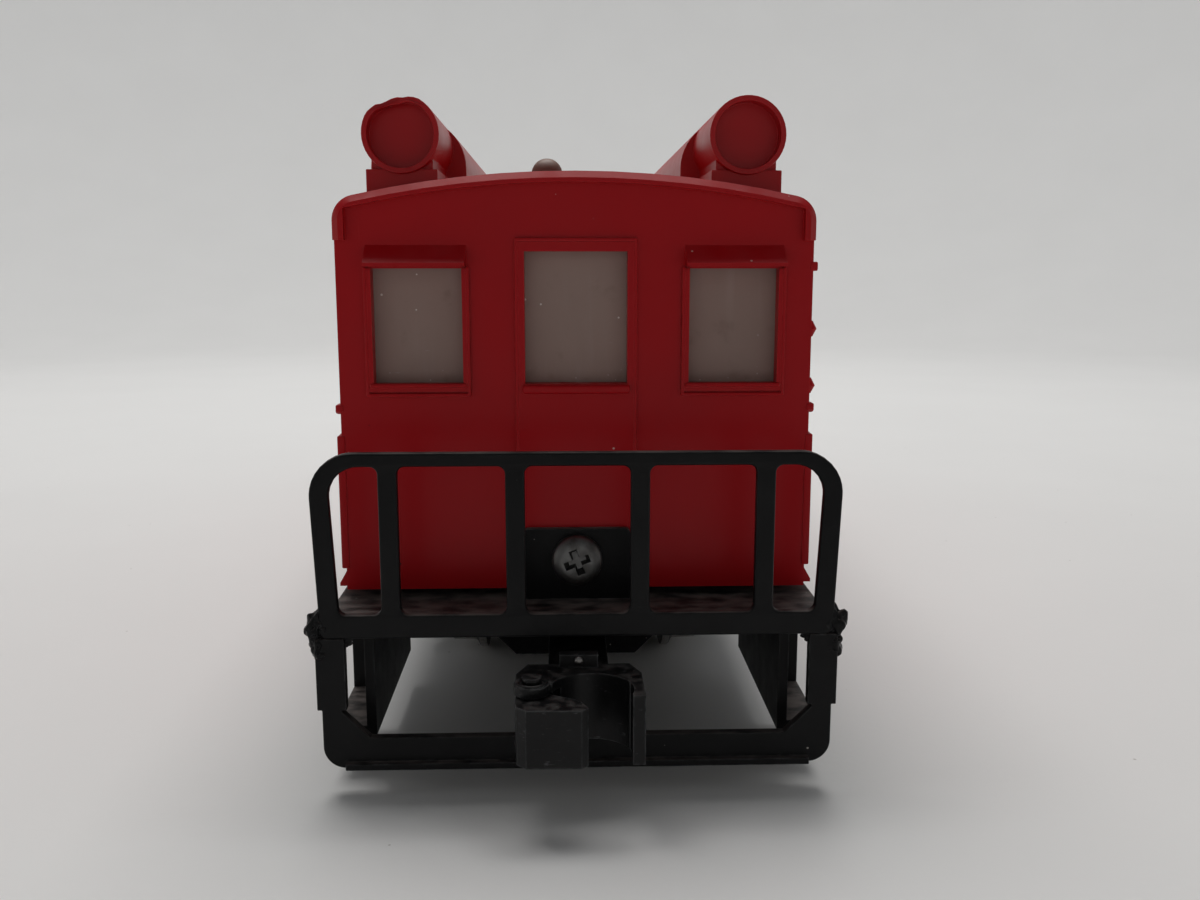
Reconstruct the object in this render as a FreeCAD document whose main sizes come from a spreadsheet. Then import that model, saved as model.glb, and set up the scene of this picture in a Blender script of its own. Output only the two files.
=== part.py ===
"""Model diesel locomotive: a boxcab body on a pressed deck, with two swivelling trucks.

The locomotive stands along Y with its front end towards -Y and Z up. The origin is on the
table, midway between the ends and the sides. The rear end is the front end turned half round.
"""
import FreeCAD, Part

import math
import os

import Sketcher

SHEET = "Sizes"
PAST = 1.0  # how far a cutting shape reaches past the face that it cuts

DIMENSIONS = {
    # body moulding
    "body_length": 184.0, "body_width": 56.8, "body_gap": 1.1, "body_wall": 1.6,
    "roof_top": 72.0, "roof_rise": 3.4, "eave_round": 3.0, "eave_bottom": 64.0,
    "roof_overhang": 1.0, "roof_rim": 1.3, "roof_lip": 0.15, "roof_bevel": 0.8,
    "trim_height": 0.35, "trim_width": 0.9,
    # end wall: windows, door and visors
    "window_sill": 47.0, "window_width": 10.7, "window_height": 13.7, "window_inset": 9.5,
    "door_width": 14.0, "door_top": 63.8, "door_glass_width": 12.3, "door_glass_height": 15.7,
    "visor_width": 11.8, "visor_reach": 2.5, "visor_bottom": 60.95, "visor_height": 2.5,
    "visor_lip": 0.4,
    # side wall
    "side_window_width": 15.0, "side_window_margin": 7.0, "cab_window_inset": 12.0,
    "cab_window_width": 9.0, "side_door_inset": 30.0, "side_door_width": 14.0,
    "band_bottom": 24.0, "band_top": 40.7, "band_height": 0.5, "sill_reach": 1.2,
    "foot_inset": 32.0, "foot_length": 10.0, "boss_width": 10.0, "boss_depth": 6.0,
    "boss_top": 31.0, "glass_thick": 0.8, "glass_margin": 3.5,
    # roof tanks and stack
    "tank_inset": 7.5, "tank_height": 76.6, "tube_radius": 4.65, "tube_bore": 4.0,
    "tube_inset": 4.0, "tube_length": 17.0, "tube_recess": 2.0, "casing_width": 12.8,
    "casing_centre": 74.1, "pedestal_width": 7.4, "pedestal_set_back": 1.2,
    "base_width": 8.6, "base_top": 72.5, "base_foot": 68.0,
    "stack_across": 3.9, "stack_inset": 42.0, "stack_radius": 2.4, "stack_height": 5.3,
    "spigot_radius": 2.0, "spigot_depth": 4.0,
    # deck and its ends
    "deck_top": 20.4, "sheet_thick": 1.2, "deck_margin": 1.1, "platform": 10.8,
    "skirt_inset": 4.1, "skirt_bottom": 5.0, "skirt_margin": 4.8, "skirt_clearance": 4.5,
    "step_margin": 1.0, "step_length": 14.0, "hanger_width": 2.2,
    "tab_width": 13.2, "tab_top": 29.3, "screw_height": 25.5,
    "rail_top": 40.4, "rail_foot": 18.8, "rail_margin": 1.2, "rail_flare": 0.8,
    "rail_bar": 1.6, "rail_sole": 2.8, "rail_post": 2.2, "rail_corner": 5.0,
    "post_inner": 7.1, "post_inset": 7.0, "rail_hole_round": 0.8,
    "pilot_margin": 1.3, "pilot_bottom": 3.1, "pilot_bar": 3.7, "pilot_corner": 2.6,
    "pilot_post": 2.3, "pilot_pad": 3.4, "pilot_pad_bottom": 10.2, "pilot_gusset": 3.2,
    "pilot_lip": 0.8,
    # screws
    "screw_head": 3.1, "screw_head_height": 1.9, "screw_shank": 1.4, "screw_length": 7.5,
    "head_round": 1.3, "cross_arm": 1.25, "cross_web": 0.35,
    # trucks
    "truck_place": 37.0, "tread_radius": 8.2, "flange_radius": 9.3,
    "back_to_back": 27.6, "wheel_width": 5.6, "flange_width": 1.2, "flange_slope": 0.6,
    "rim_width": 1.5, "dish_depth": 2.5, "hub_radius": 3.2, "axle_radius": 1.6,
    "running_gap": 0.05, "face_gap": 0.1, "frame_width": 22.0, "frame_bottom": 6.0,
    "frame_plate_top": 16.7, "frame_margin": 6.0, "plate_margin": 12.5,
    "tongue_end": 47.0, "tongue_pivot": 43.0, "tongue_width": 20.0,
    "lip_place": 36.0, "lip_chamfer": 2.5,
    "side_frame_inner": 21.0, "side_frame_thick": 2.4, "side_frame_top": 14.5,
    "side_frame_bottom": 4.2, "side_arch": 0.45, "side_taper": 0.17, "crossbar_width": 2.5,
    "journal_radius": 2.7, "journal_reach": 1.2,
    "kingpin_radius": 2.5, "kingpin_head": 4.0, "kingpin_nut": 2.0,
    # motor and gears
    "gear_module": 0.7, "gear_teeth": 20, "pinion_teeth": 10, "gear_width": 2.1,
    "gear_backlash": 0.14, "gear_gap": 0.3, "armature_radius": 8.4, "armature_gap": 0.4,
    "armature_length": 12.0, "slot_half": 0.9, "slot_floor": 4.6, "field_margin": 2.0,
    "shaft_radius": 1.5, "commutator_edge": 0.15,
    "commutator_length": 2.6, "field_top": 41.0, "field_bottom": 10.2,
    "coil_bottom": 31.5, "coil_height": 5.6, "limb_half": 5.0, "coil_bulge": 2.6,
    "cheek_half": 13.0, "cheek_top": 34.0, "brush_plate_thick": 1.6, "brush_half": 9.0,
    "brush_drop": 5.4, "brush_rise": 7.2,
    "brush_spread": 5.5, "brush_tube": 2.0, "brush_reach": 3.2, "brush_radius": 1.3,
    "opening_across": 36.0, "opening_along": 31.0, "bridge_width": 12.0,
    "bridge_bottom": 43.0, "bridge_foot": 5.0,
    # collector roller
    "pivot_offset": 9.0, "pivot_height": 12.8, "roller_offset": 4.0, "roller_radius": 3.0,
    "roller_height": 3.9, "roller_half": 5.0, "roller_play": 0.3, "pin_radius": 1.0,
    "pin_end": 0.6, "ear_thick": 1.0, "ear_below": 1.6, "ear_above": 1.2, "bridge_drop": 0.6,
    "spring_radius": 1.6, "spring_wire": 0.6,
    # couplers
    "shank_width": 7.0, "shank_bottom": 12.2, "shank_height": 3.0,
    "head_back": 1.2, "head_shoulder": 4.2, "head_taper": 1.2, "head_tip": 11.0,
    "head_half": 7.05, "head_bottom": 8.2, "head_top": 16.0, "ear_height": 1.1,
    "ear_radius": 2.0, "mouth_back": 5.1, "cavity_across": 1.3, "cavity_along": 8.8,
    "cavity_radius": 4.6, "guard_width": 1.4, "pad_half": 2.2, "pad_depth": 1.2,
    "pad_rise": 1.5, "knuckle_across": 5.2, "knuckle_along": 7.0, "knuckle_eye": 1.75,
    "knuckle_root": 9.35, "knuckle_tip": 11.8, "knuckle_end": 0.9, "knuckle_soft": 0.7,
    "knuckle_pin": 0.8, "pin_head": 1.1,
    "pin_bottom": 7.1, "rivet_radius": 1.5, "rivet_head": 2.6, "rivet_rise": 0.8,
    # inside the body
    "weight_width": 32.0, "weight_height": 11.6, "weight_gap": 4.0, "weight_inset": 13.0,
    "unit_half": 9.0, "unit_height": 23.6, "lever_width": 2.4, "lever_bottom": 11.0,
    "lever_pivot": 24.5, "lever_slot": 10.0, "lamp_place": 24.0, "socket_radius": 4.5,
    "socket_height": 13.0, "bulb_radius": 4.4, "bulb_neck": 3.0,
}


class Size:
    """A length from the sheet, kept as its value and as the expression that gives it."""

    def __init__(self, value, text):
        self.value = float(value)
        self.text = text

    def __add__(self, other):
        other = as_size(other)
        return Size(self.value + other.value, f"({self.text} + {other.text})")

    def __sub__(self, other):
        other = as_size(other)
        return Size(self.value - other.value, f"({self.text} - {other.text})")

    def __mul__(self, other):
        other = as_size(other)
        return Size(self.value * other.value, f"({self.text} * {other.text})")

    def __truediv__(self, other):
        other = as_size(other)
        return Size(self.value / other.value, f"({self.text} / {other.text})")

    def __neg__(self):
        return Size(-self.value, f"(-{self.text})")

    def __radd__(self, other):
        return as_size(other) + self

    def __rsub__(self, other):
        return as_size(other) - self

    def __rmul__(self, other):
        return as_size(other) * self


def as_size(number):
    return number if isinstance(number, Size) else Size(number, f"({float(number)})")


class Sheet:
    """The spreadsheet of driving dimensions, read as attributes."""

    def __init__(self, doc):
        self.cells = doc.addObject("Spreadsheet::Sheet", SHEET)
        for row, (alias, number) in enumerate(DIMENSIONS.items(), start=1):
            self.cells.set(f"A{row}", alias)
            self.cells.set(f"B{row}", str(number))
            self.cells.setAlias(f"B{row}", alias)
        doc.recompute()

    def __getattr__(self, alias):
        return Size(DIMENSIONS[alias], f"{SHEET}.{alias}")


doc = FreeCAD.newDocument("locomotive")
d = Sheet(doc)
pieces = []


def V(x=0.0, y=0.0, z=0.0):
    return FreeCAD.Vector(x, y, z)


def bind(obj, name, size):
    obj.setExpression(name, as_size(size).text)


def keep(label, obj):
    """Name a finished sub-part, which puts it among the pieces that are written."""
    obj.Label = label
    pieces.append(obj)
    return obj


def both(size):
    """The span from minus to plus a half width."""
    return (-size, size)


def front(near, far):
    """The Y span between two distances from the middle, on the front side."""
    return (-as_size(far), -as_size(near))


def box(x, y, z):
    block = doc.addObject("Part::Box", "block")
    for name, letter, (low, high) in (("Length", "x", x), ("Width", "y", y), ("Height", "z", z)):
        bind(block, name, as_size(high) - low)
        bind(block, f"Placement.Base.{letter}", low)
    return block


AXES = {"x": (V(0, 1, 0), 90, "yz"), "y": (V(1, 0, 0), -90, "xz"), "z": (V(0, 0, 1), 0, "xy")}


def rod(axis, centre, span, radius):
    """A cylinder along an axis; centre holds its other two coordinates in X, Y, Z order."""
    cylinder = doc.addObject("Part::Cylinder", "rod")
    pivot, angle, others = AXES[axis]
    cylinder.Placement = FreeCAD.Placement(V(), FreeCAD.Rotation(pivot, angle))
    bind(cylinder, "Radius", radius)
    bind(cylinder, "Height", as_size(span[1]) - span[0])
    bind(cylinder, f"Placement.Base.{axis}", span[0])
    for letter, place in zip(others, centre):
        bind(cylinder, f"Placement.Base.{letter}", place)
    return cylinder


def ball(x, y, z, radius):
    sphere = doc.addObject("Part::Sphere", "ball")
    bind(sphere, "Radius", radius)
    for letter, place in zip("xyz", (x, y, z)):
        bind(sphere, f"Placement.Base.{letter}", place)
    return sphere


def fuse(*parts):
    joined = doc.addObject("Part::MultiFuse", "joined")
    joined.Shapes = list(parts)
    joined.Refine = True
    return joined


def cut(base, *tools):
    result = doc.addObject("Part::Cut", "cut")
    result.Base = base
    result.Tool = tools[0] if len(tools) == 1 else group(*tools)
    result.Refine = True
    return result


def group(*parts):
    bundle = doc.addObject("Part::Compound", "group")
    bundle.Links = list(parts)
    return bundle


def mirrored(part, normal=V(1, 0, 0)):
    copy = doc.addObject("Part::Mirroring", "mirrored")
    copy.Source = part
    copy.Normal = normal
    return copy


def turned(part):
    """A copy turned half round about Z, which carries the front end to the rear."""
    copy = group(part)
    copy.Placement = FreeCAD.Placement(V(), FreeCAD.Rotation(V(0, 0, 1), 180))
    return copy


def moved(part, y):
    copy = group(part)
    bind(copy, "Placement.Base.y", y)
    return copy


def rounded(block, axis, radius, corners=None):
    """Round the edges of a block that run along an axis, or those that the test names."""
    doc.recompute()
    direction = {"x": V(1, 0, 0), "y": V(0, 1, 0), "z": V(0, 0, 1)}[axis]
    edges = []
    for number, edge in enumerate(block.Shape.Edges, start=1):
        along = edge.tangentAt(edge.FirstParameter)
        middle = edge.valueAt((edge.FirstParameter + edge.LastParameter) / 2)
        if abs(along.dot(direction)) > 0.999 and (corners is None or corners(middle)):
            edges.append((number, radius.value, radius.value))
    soft = doc.addObject("Part::Fillet", "rounded")
    soft.Base = block
    soft.Edges = edges
    return soft


class Body:
    """A PartDesign body, with its sketches in a plane of its own origin."""

    # plane: role, sign of its normal, the sketch's own axes
    PLANES = {"xz": ("XZ_Plane", -1), "yz": ("YZ_Plane", 1), "xy": ("XY_Plane", 1)}

    def __init__(self, name):
        self.body = doc.addObject("PartDesign::Body", name)

    def sketch(self, plane, offset, origin=(0.0, 0.0)):
        role, sign = self.PLANES[plane]
        drawing = self.body.newObject("Sketcher::SketchObject", "outline")
        own = next(f for f in self.body.Origin.OriginFeatures if f.Role == role)
        drawing.AttachmentSupport = (own, [""])
        drawing.MapMode = "FlatFace"
        bind(drawing, "AttachmentOffset.Base.z", as_size(offset) * sign)
        bind(drawing, "AttachmentOffset.Base.x", origin[0])
        bind(drawing, "AttachmentOffset.Base.y", origin[1])
        return drawing

    def outline(self, drawing, points, arcs=None):
        """Draw a closed outline, anticlockwise; arcs gives the centre of each round stretch."""
        arcs = arcs or {}
        first = drawing.GeometryCount
        values = [(as_size(x).value, as_size(y).value) for x, y in points]
        count = len(points)
        for index in range(count):
            begin = V(*values[index])
            end = V(*values[(index + 1) % count])
            if index in arcs:
                middle = V(*(as_size(place).value for place in arcs[index]))
                circle = Part.Circle(middle, V(0, 0, 1), (begin - middle).Length)
                stretch = Part.ArcOfCircle(circle, circle.parameter(begin), circle.parameter(end))
            else:
                stretch = Part.LineSegment(begin, end)
            drawing.addGeometry(stretch, False)
        for index in range(count):
            after = first + (index + 1) % count
            drawing.addConstraint(Sketcher.Constraint("Coincident", first + index, 2, after, 1))
        for index, (x, y) in enumerate(points):
            self.hold(drawing, "DistanceX", first + index, 1, x)
            self.hold(drawing, "DistanceY", first + index, 1, y)
        for index, (x, y) in arcs.items():
            run = V(*values[(index + 1) % count]) - V(*values[index])
            if abs(run.x) > abs(run.y):
                self.hold(drawing, "DistanceY", first + index, 3, y)
            else:
                self.hold(drawing, "DistanceX", first + index, 3, x)

    def hold(self, drawing, kind, element, point, place):
        number = drawing.addConstraint(
            Sketcher.Constraint(kind, -1, 1, element, point, as_size(place).value))
        drawing.setExpression(f"Constraints[{number}]", as_size(place).text)

    def pad(self, plane, span, points, arcs=None):
        """Add a prism over a span of the plane's normal."""
        start = span[1] if self.PLANES[plane][1] < 0 else span[0]
        drawing = self.sketch(plane, start)
        self.outline(drawing, points, arcs)
        feature = self.body.newObject("PartDesign::Pad", "pad")
        feature.Profile = drawing
        bind(feature, "Length", as_size(span[1]) - span[0])
        return self.body

    def pocket(self, plane, span, outlines):
        """Take prisms away over a span of the plane's normal."""
        start = span[0] if self.PLANES[plane][1] < 0 else span[1]
        drawing = self.sketch(plane, start)
        for points, arcs in outlines:
            self.outline(drawing, points, arcs)
        feature = self.body.newObject("PartDesign::Pocket", "pocket")
        feature.Profile = drawing
        bind(feature, "Length", as_size(span[1]) - span[0])
        return self.body

    def turn(self, points, plane="xz", origin=(0.0, 0.0), axis="H_Axis", offset=0.0):
        """Revolve an outline about one of its sketch's own axes."""
        drawing = self.sketch(plane, offset, origin)
        self.outline(drawing, points)
        feature = self.body.newObject("PartDesign::Revolution", "turned")
        feature.Profile = drawing
        feature.ReferenceAxis = (drawing, [axis])
        feature.Angle = 360
        return self.body


def rectangle(x, z):
    return [(x[0], z[0]), (x[1], z[0]), (x[1], z[1]), (x[0], z[1])]


# ---------------------------------------------------------------- body moulding

half_length = d.body_length / 2
half_width = d.body_width / 2
inner_face = half_length - d.body_wall
body_bottom = d.deck_top + d.body_gap
window_place = half_width - d.window_inset
side_door_place = half_length - d.side_door_inset
cab_window_place = half_length - d.cab_window_inset
foot_place = half_length - d.foot_inset
tank_place = half_width - d.tank_inset
tube_end = half_length - d.tube_inset
stack_along = half_length - d.stack_inset


def arch(name, half, crown, bottom, reach):
    """A prism along the body with an arched top; the arch keeps the roof's radius."""
    radius = (half_width * half_width + d.roof_rise * d.roof_rise) / (d.roof_rise * 2)
    drop = half * half / (radius * 2)
    shoulder = crown - drop
    spring = crown - (half * half + drop * drop) / (drop * 2)
    points = [(-half, bottom), (half, bottom), (half, shoulder), (-half, shoulder)]
    return Body(name).pad("xz", both(reach), points, {2: (0.0, spring)})


def at_eaves(point):
    return point.z > DIMENSIONS["eave_bottom"]


def bevelled_ends(block, size, foot):
    """Bevel the outline of both end faces, except along a flat foot."""
    doc.recompute()
    reach = block.Shape.BoundBox.YMax
    edges = []
    for number, edge in enumerate(block.Shape.Edges, start=1):
        middle = edge.valueAt((edge.FirstParameter + edge.LastParameter) / 2)
        across = abs(edge.tangentAt(edge.FirstParameter).y) < 0.001
        if across and abs(abs(middle.y) - reach) < 0.001 and middle.z > foot.value + 0.001:
            edges.append((number, size.value, size.value))
    bevel = doc.addObject("Part::Chamfer", "bevelled")
    bevel.Base = block
    bevel.Edges = edges
    return bevel


def end_windows():
    """The openings of both end walls, as bars that run the whole length."""
    reach = both(half_length + d.roof_overhang)
    sill = (d.window_sill, d.window_sill + d.window_height)
    low = window_place - d.window_width / 2
    right = box((low, low + d.window_width), reach, sill)
    door_sill = (d.window_sill, d.window_sill + d.door_glass_height)
    middle = box(both(d.door_glass_width / 2), reach, door_sill)
    return [right, mirrored(right), middle]


def side_window_places():
    """Y centre and width of each side window, from the middle towards the rear."""
    pitch = (side_door_place + d.side_window_margin) / 3
    middle = [(pitch * 0.5, d.side_window_width), (pitch * 1.5, d.side_window_width)]
    return middle + [(side_door_place, d.side_door_width - d.trim_width * 4),
                     (cab_window_place, d.cab_window_width)]


def side_bars(margin, reach):
    """Blocks at the side windows, grown by a margin, right across the body."""
    bars = []
    for place, width in side_window_places():
        grown = width / 2 + margin
        height = (d.window_sill - margin, d.window_sill + d.window_height + margin)
        bar = box(both(reach), (place - grown, place + grown), height)
        bars += [bar, mirrored(bar, V(0, 1, 0))]
    return bars


def visor():
    """A sun visor with a sloping top and a thin lip, over the right front window."""
    top = d.visor_bottom + d.visor_height
    root = -(half_length - d.body_wall / 2)
    tip = -(half_length + d.visor_reach)
    points = [(tip, d.visor_bottom), (root, d.visor_bottom), (root, top),
              (-half_length, top), (tip, d.visor_bottom + d.visor_lip)]
    low = window_place - d.visor_width / 2
    return Body("visor").pad("yz", (low, low + d.visor_width), points)


def sill_ledge():
    """The flared ledge along the foot of the right side."""
    edge = half_width + d.sill_reach
    root = half_width - d.body_wall / 2
    points = [(root, body_bottom), (edge, body_bottom), (edge, body_bottom + d.visor_lip),
              (half_width, d.band_bottom), (root, d.band_bottom)]
    return Body("sill_ledge").pad("xz", both(half_length - d.body_wall), points)


def body_shell():
    core = rounded(arch("walls", half_width, d.roof_top - d.roof_lip, body_bottom,
                        half_length), "y", d.eave_round, at_eaves)
    slab = rounded(arch("roof", half_width + d.roof_lip, d.roof_top, d.eave_bottom,
                        half_length + d.roof_overhang), "y", d.eave_round, at_eaves)
    slab = bevelled_ends(slab, d.roof_bevel, d.eave_bottom)
    under = arch("under_roof", half_width - d.roof_rim, d.roof_top - d.roof_rim,
                 d.eave_bottom - PAST, half_length + d.roof_overhang * 2)
    cavity = arch("cavity", half_width - d.body_wall, d.roof_top - d.body_wall - d.roof_lip,
                  body_bottom - PAST, inner_face)
    rim = cut(slab, under)
    low = window_place - d.window_width / 2 - d.trim_width
    frame_y = both(half_length + d.trim_height)
    frame_z = (d.window_sill - d.trim_width, d.window_sill + d.window_height)
    frame = box((low, low + d.window_width + d.trim_width * 2), frame_y, frame_z)
    door = box(both(d.door_width / 2), frame_y, (d.tab_top, d.door_top))
    face = half_width + d.trim_height
    band = box(both(half_width + d.band_height), both(half_length - d.body_wall),
               (d.band_bottom, d.band_top))
    side_door_half = d.side_door_width / 2
    side_door = box(both(face), (side_door_place - side_door_half,
                                 side_door_place + side_door_half),
                    (d.band_bottom, d.door_top))
    ledge = sill_ledge()
    shade = visor()
    shades = fuse(shade, mirrored(shade))
    outside = fuse(core, rim, frame, mirrored(frame), door, band, side_door,
                   mirrored(side_door, V(0, 1, 0)), ledge, mirrored(ledge), shades,
                   turned(shades), *side_bars(d.trim_width, face))
    walls = cut(outside, cavity)
    boss = box(both(d.boss_width / 2), front(inner_face - d.boss_depth, inner_face),
               (d.deck_top, d.boss_top))
    foot = box((half_width - d.body_wall, half_width),
               (foot_place - d.foot_length / 2, foot_place + d.foot_length / 2),
               (d.deck_top, body_bottom + d.foot_length / 2))
    feet = fuse(foot, mirrored(foot))
    solid = fuse(walls, boss, turned(boss), feet, turned(feet))
    screw_hole = rod("y", (0.0, d.screw_height), both(half_length + d.roof_overhang),
                     d.screw_shank + d.running_gap)
    stack_hole = rod("z", (-d.stack_across, -stack_along),
                     (d.roof_top - d.spigot_depth * 2, d.roof_top + PAST),
                     d.spigot_radius + d.running_gap)
    window_bars = end_windows() + side_bars(0.0, half_width + d.sill_reach)
    return keep("body_shell", cut(solid, screw_hole, stack_hole, *window_bars))


def roof_tank():
    """The right-hand roof tank: a casing with a round tube at each end, on a raised base."""
    centre = tank_place
    casing_half = d.casing_width / 2
    casing_end = tube_end - d.tube_length
    casing = Body("casing").pad(
        "xz", both(casing_end),
        [(centre - casing_half, d.base_foot), (centre + casing_half, d.base_foot),
         (centre + casing_half, d.casing_centre), (centre - casing_half, d.casing_centre)],
        {2: (centre, d.casing_centre)})
    tube = rod("y", (centre, d.tank_height), both(tube_end), d.tube_radius)
    post = box((centre - d.pedestal_width / 2, centre + d.pedestal_width / 2),
               both(tube_end - d.pedestal_set_back), (d.base_foot, d.tank_height))
    base = box((centre - d.base_width / 2, centre + d.base_width / 2),
               both(tube_end - d.pedestal_set_back / 2), (d.base_foot, d.base_top))
    recess = rod("y", (centre, d.tank_height),
                 front(tube_end - d.tube_recess, tube_end + PAST), d.tube_bore)
    roof = arch("roof_under_tank", half_width + d.roof_lip, d.roof_top, body_bottom,
                half_length)
    return cut(fuse(casing, tube, post, base), recess, mirrored(recess, V(0, 1, 0)), roof)


def exhaust_stack():
    """A domed stack with a spigot that plugs into the roof."""
    top = d.roof_top + d.stack_height - d.stack_radius
    centre = (-d.stack_across, -stack_along)
    pipe = rod("z", centre, (d.roof_top, top), d.stack_radius)
    spigot = rod("z", centre, (d.roof_top - d.spigot_depth, d.roof_top), d.spigot_radius)
    return fuse(pipe, spigot, ball(*centre, top, d.stack_radius))


def glazing():
    """Clear sheets glued behind the windows."""
    heights = (d.window_sill - d.glass_margin, d.door_top + d.body_wall)
    width = half_width - d.body_wall - d.glass_thick * 2
    front_sheet = box(both(width), front(inner_face - d.glass_thick, inner_face), heights)
    keep("front_glazing", front_sheet)
    keep("rear_glazing", turned(front_sheet))
    reach = cab_window_place + d.cab_window_width / 2 + d.trim_width
    inside = half_width - d.body_wall
    side_sheet = box((inside - d.glass_thick, inside), both(reach), heights)
    keep("right_glazing", side_sheet)
    keep("left_glazing", mirrored(side_sheet))


body_shell()
tank = roof_tank()
keep("roof_tank_right", tank)
keep("roof_tank_left", mirrored(tank))
keep("exhaust_stack", exhaust_stack())
glazing()


# ---------------------------------------------------------------- deck and its ends

deck_bottom = d.deck_top - d.sheet_thick
deck_half = half_width + d.deck_margin
end_reach = half_length + d.platform
plate_back = end_reach - d.sheet_thick
skirt_place = half_width - d.skirt_inset
skirt_front = end_reach - d.skirt_margin
step_reach = half_width + d.step_margin
step_back = skirt_front - d.step_length
frame_half = d.frame_width / 2
gear_reach = d.gear_module * d.gear_teeth
plate_half_length = gear_reach + d.plate_margin
skirt_back = d.truck_place + plate_half_length + d.skirt_clearance


def chassis_frame():
    deck = box(both(deck_half), both(plate_back), (deck_bottom, d.deck_top))
    skirt_x = (skirt_place, skirt_place + d.sheet_thick)
    skirt = box(skirt_x, front(skirt_back, skirt_front), (d.skirt_bottom, d.deck_top))
    tread = box((skirt_place, step_reach), front(step_back, skirt_front),
                (d.skirt_bottom, d.skirt_bottom + d.sheet_thick))
    hanger = box((step_reach - d.hanger_width, step_reach),
                 front(step_back, step_back + d.sheet_thick), (d.skirt_bottom, d.deck_top))
    steps = fuse(skirt, tread, hanger)
    tab = box(both(d.tab_width / 2), front(half_length, half_length + d.sheet_thick),
              (deck_bottom, d.tab_top))
    corner = fuse(steps, mirrored(steps), rounded(tab, "y", d.rail_hole_round, at_tab_top))
    whole = fuse(deck, corner, turned(corner))
    screw_hole = rod("y", (0.0, d.screw_height), both(end_reach),
                     d.screw_shank + d.face_gap)
    kingpin_hole = rod("z", (0.0, -d.truck_place), (deck_bottom - PAST, d.deck_top + PAST),
                       d.kingpin_radius + d.running_gap)
    motor_hole = box(both(d.opening_across / 2),
                     (d.truck_place - d.opening_along / 2, d.truck_place + d.opening_along / 2),
                     (deck_bottom - PAST, d.deck_top + PAST))
    slot = box((d.unit_half - d.running_gap, d.unit_half + d.lever_width), both(d.lever_slot / 2),
               (deck_bottom - PAST, d.deck_top + PAST))
    return cut(whole, screw_hole, kingpin_hole, motor_hole, slot)


def at_tab_top(point):
    return point.z > DIMENSIONS["deck_top"]


def railing():
    """The flat front railing: a tapered plate with five round-cornered openings."""
    span = front(plate_back, end_reach)
    corner = d.rail_corner
    top = d.rail_top
    foot = d.rail_foot
    narrow = half_width + d.rail_margin
    wide = narrow + d.rail_flare
    post_outer = half_width - d.post_inset
    plate = Body("railing")
    plate.pad("xz", span,
              [(-narrow, foot), (narrow, foot), (wide, top - corner), (wide - corner, top),
               (corner - wide, top), (-wide, top - corner)],
              {2: (wide - corner, top - corner), 4: (corner - wide, top - corner)})
    sill = foot + d.rail_sole
    head = top - d.rail_bar
    half_post = d.rail_post / 2
    openings = [rectangle(both(d.post_inner - half_post), (sill, head))]
    between = (d.post_inner + half_post, post_outer - half_post)
    openings.append(rectangle(between, (sill, head)))
    openings.append(rectangle((-between[1], -between[0]), (sill, head)))
    near = post_outer + half_post
    far_top = wide - d.rail_post
    far_foot = narrow - d.rail_post
    soft = corner - d.rail_bar
    plate.pocket("xz", span, [(points, None) for points in openings])
    for side in (1, -1):
        points = [(near * side, sill), (far_foot * side, sill), (far_top * side, head - soft),
                  ((far_top - soft) * side, head), (near * side, head)]
        arc = {2: ((far_top - soft) * side, head - soft)}
        if side < 0:
            points = points[::-1]
            arc = {1: arc[2]}
        plate.pocket("xz", span, [(points, arc)])
    return plate.body


def pilot():
    """The step posts with the cross bar below them, cut from one plate."""
    span = front(plate_back, end_reach)
    low = d.pilot_bottom
    bar = low + d.pilot_bar
    outer = half_width + d.pilot_margin
    inner = outer - d.pilot_post
    pad_out = outer + (d.pilot_pad - d.pilot_post) / 2
    pad_in = inner - (d.pilot_pad - d.pilot_post) / 2
    pad_low = d.pilot_pad_bottom
    top = d.rail_foot
    corner = d.pilot_corner
    gusset = d.pilot_gusset
    right = [(outer - corner, low), (outer, low + corner), (outer, pad_low), (pad_out, pad_low),
             (pad_out, top), (pad_in, top), (pad_in, pad_low), (inner, pad_low),
             (inner, bar + gusset), (inner - gusset, bar)]
    left = [(-x, z) for x, z in reversed(right)]
    plate = Body("pilot")
    plate.pad("xz", span, right + left,
              {0: (outer - corner, low + corner), 18: (corner - outer, low + corner)})
    lip = box(both(outer - corner), front(end_reach, end_reach + d.pilot_lip),
              (low, low + d.pilot_lip))
    return fuse(plate.body, lip)


def body_screw():
    """The pan-head screw that ties the body to the front tab."""
    under_head = half_length + d.sheet_thick
    centre = (0.0, d.screw_height)
    head = rod("y", centre, front(under_head, under_head + d.screw_head_height), d.screw_head)
    shank = rod("y", centre, front(under_head - d.screw_length, under_head), d.screw_shank)
    arm = d.cross_arm
    web = d.cross_web
    depth = front(under_head + d.screw_head_height / 2, under_head + d.screw_head_height * 2)
    flat = box(both(arm), depth, (d.screw_height - web, d.screw_height + web))
    upright = box(both(web), depth, (d.screw_height - arm, d.screw_height + arm))
    soft = rounded_head(head)
    return cut(fuse(soft, shank), flat, upright)


def rounded_head(head):
    doc.recompute()
    outer = min(range(len(head.Shape.Edges)),
                key=lambda index: head.Shape.Edges[index].CenterOfMass.y)
    soft = doc.addObject("Part::Fillet", "pan_head")
    soft.Base = head
    radius = d.head_round.value
    soft.Edges = [(outer + 1, radius, radius)]
    return soft


keep("chassis_frame", chassis_frame())
for label, part in (("railing", railing()), ("pilot", pilot())):
    keep(f"front_{label}", part)
    keep(f"rear_{label}", turned(part))
screw = body_screw()
keep("body_screws", group(screw, turned(screw)))


# ---------------------------------------------------------------- wheels and axles

axle_height = d.flange_radius
wheel_in = d.back_to_back / 2
wheel_out = wheel_in + d.wheel_width


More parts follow.
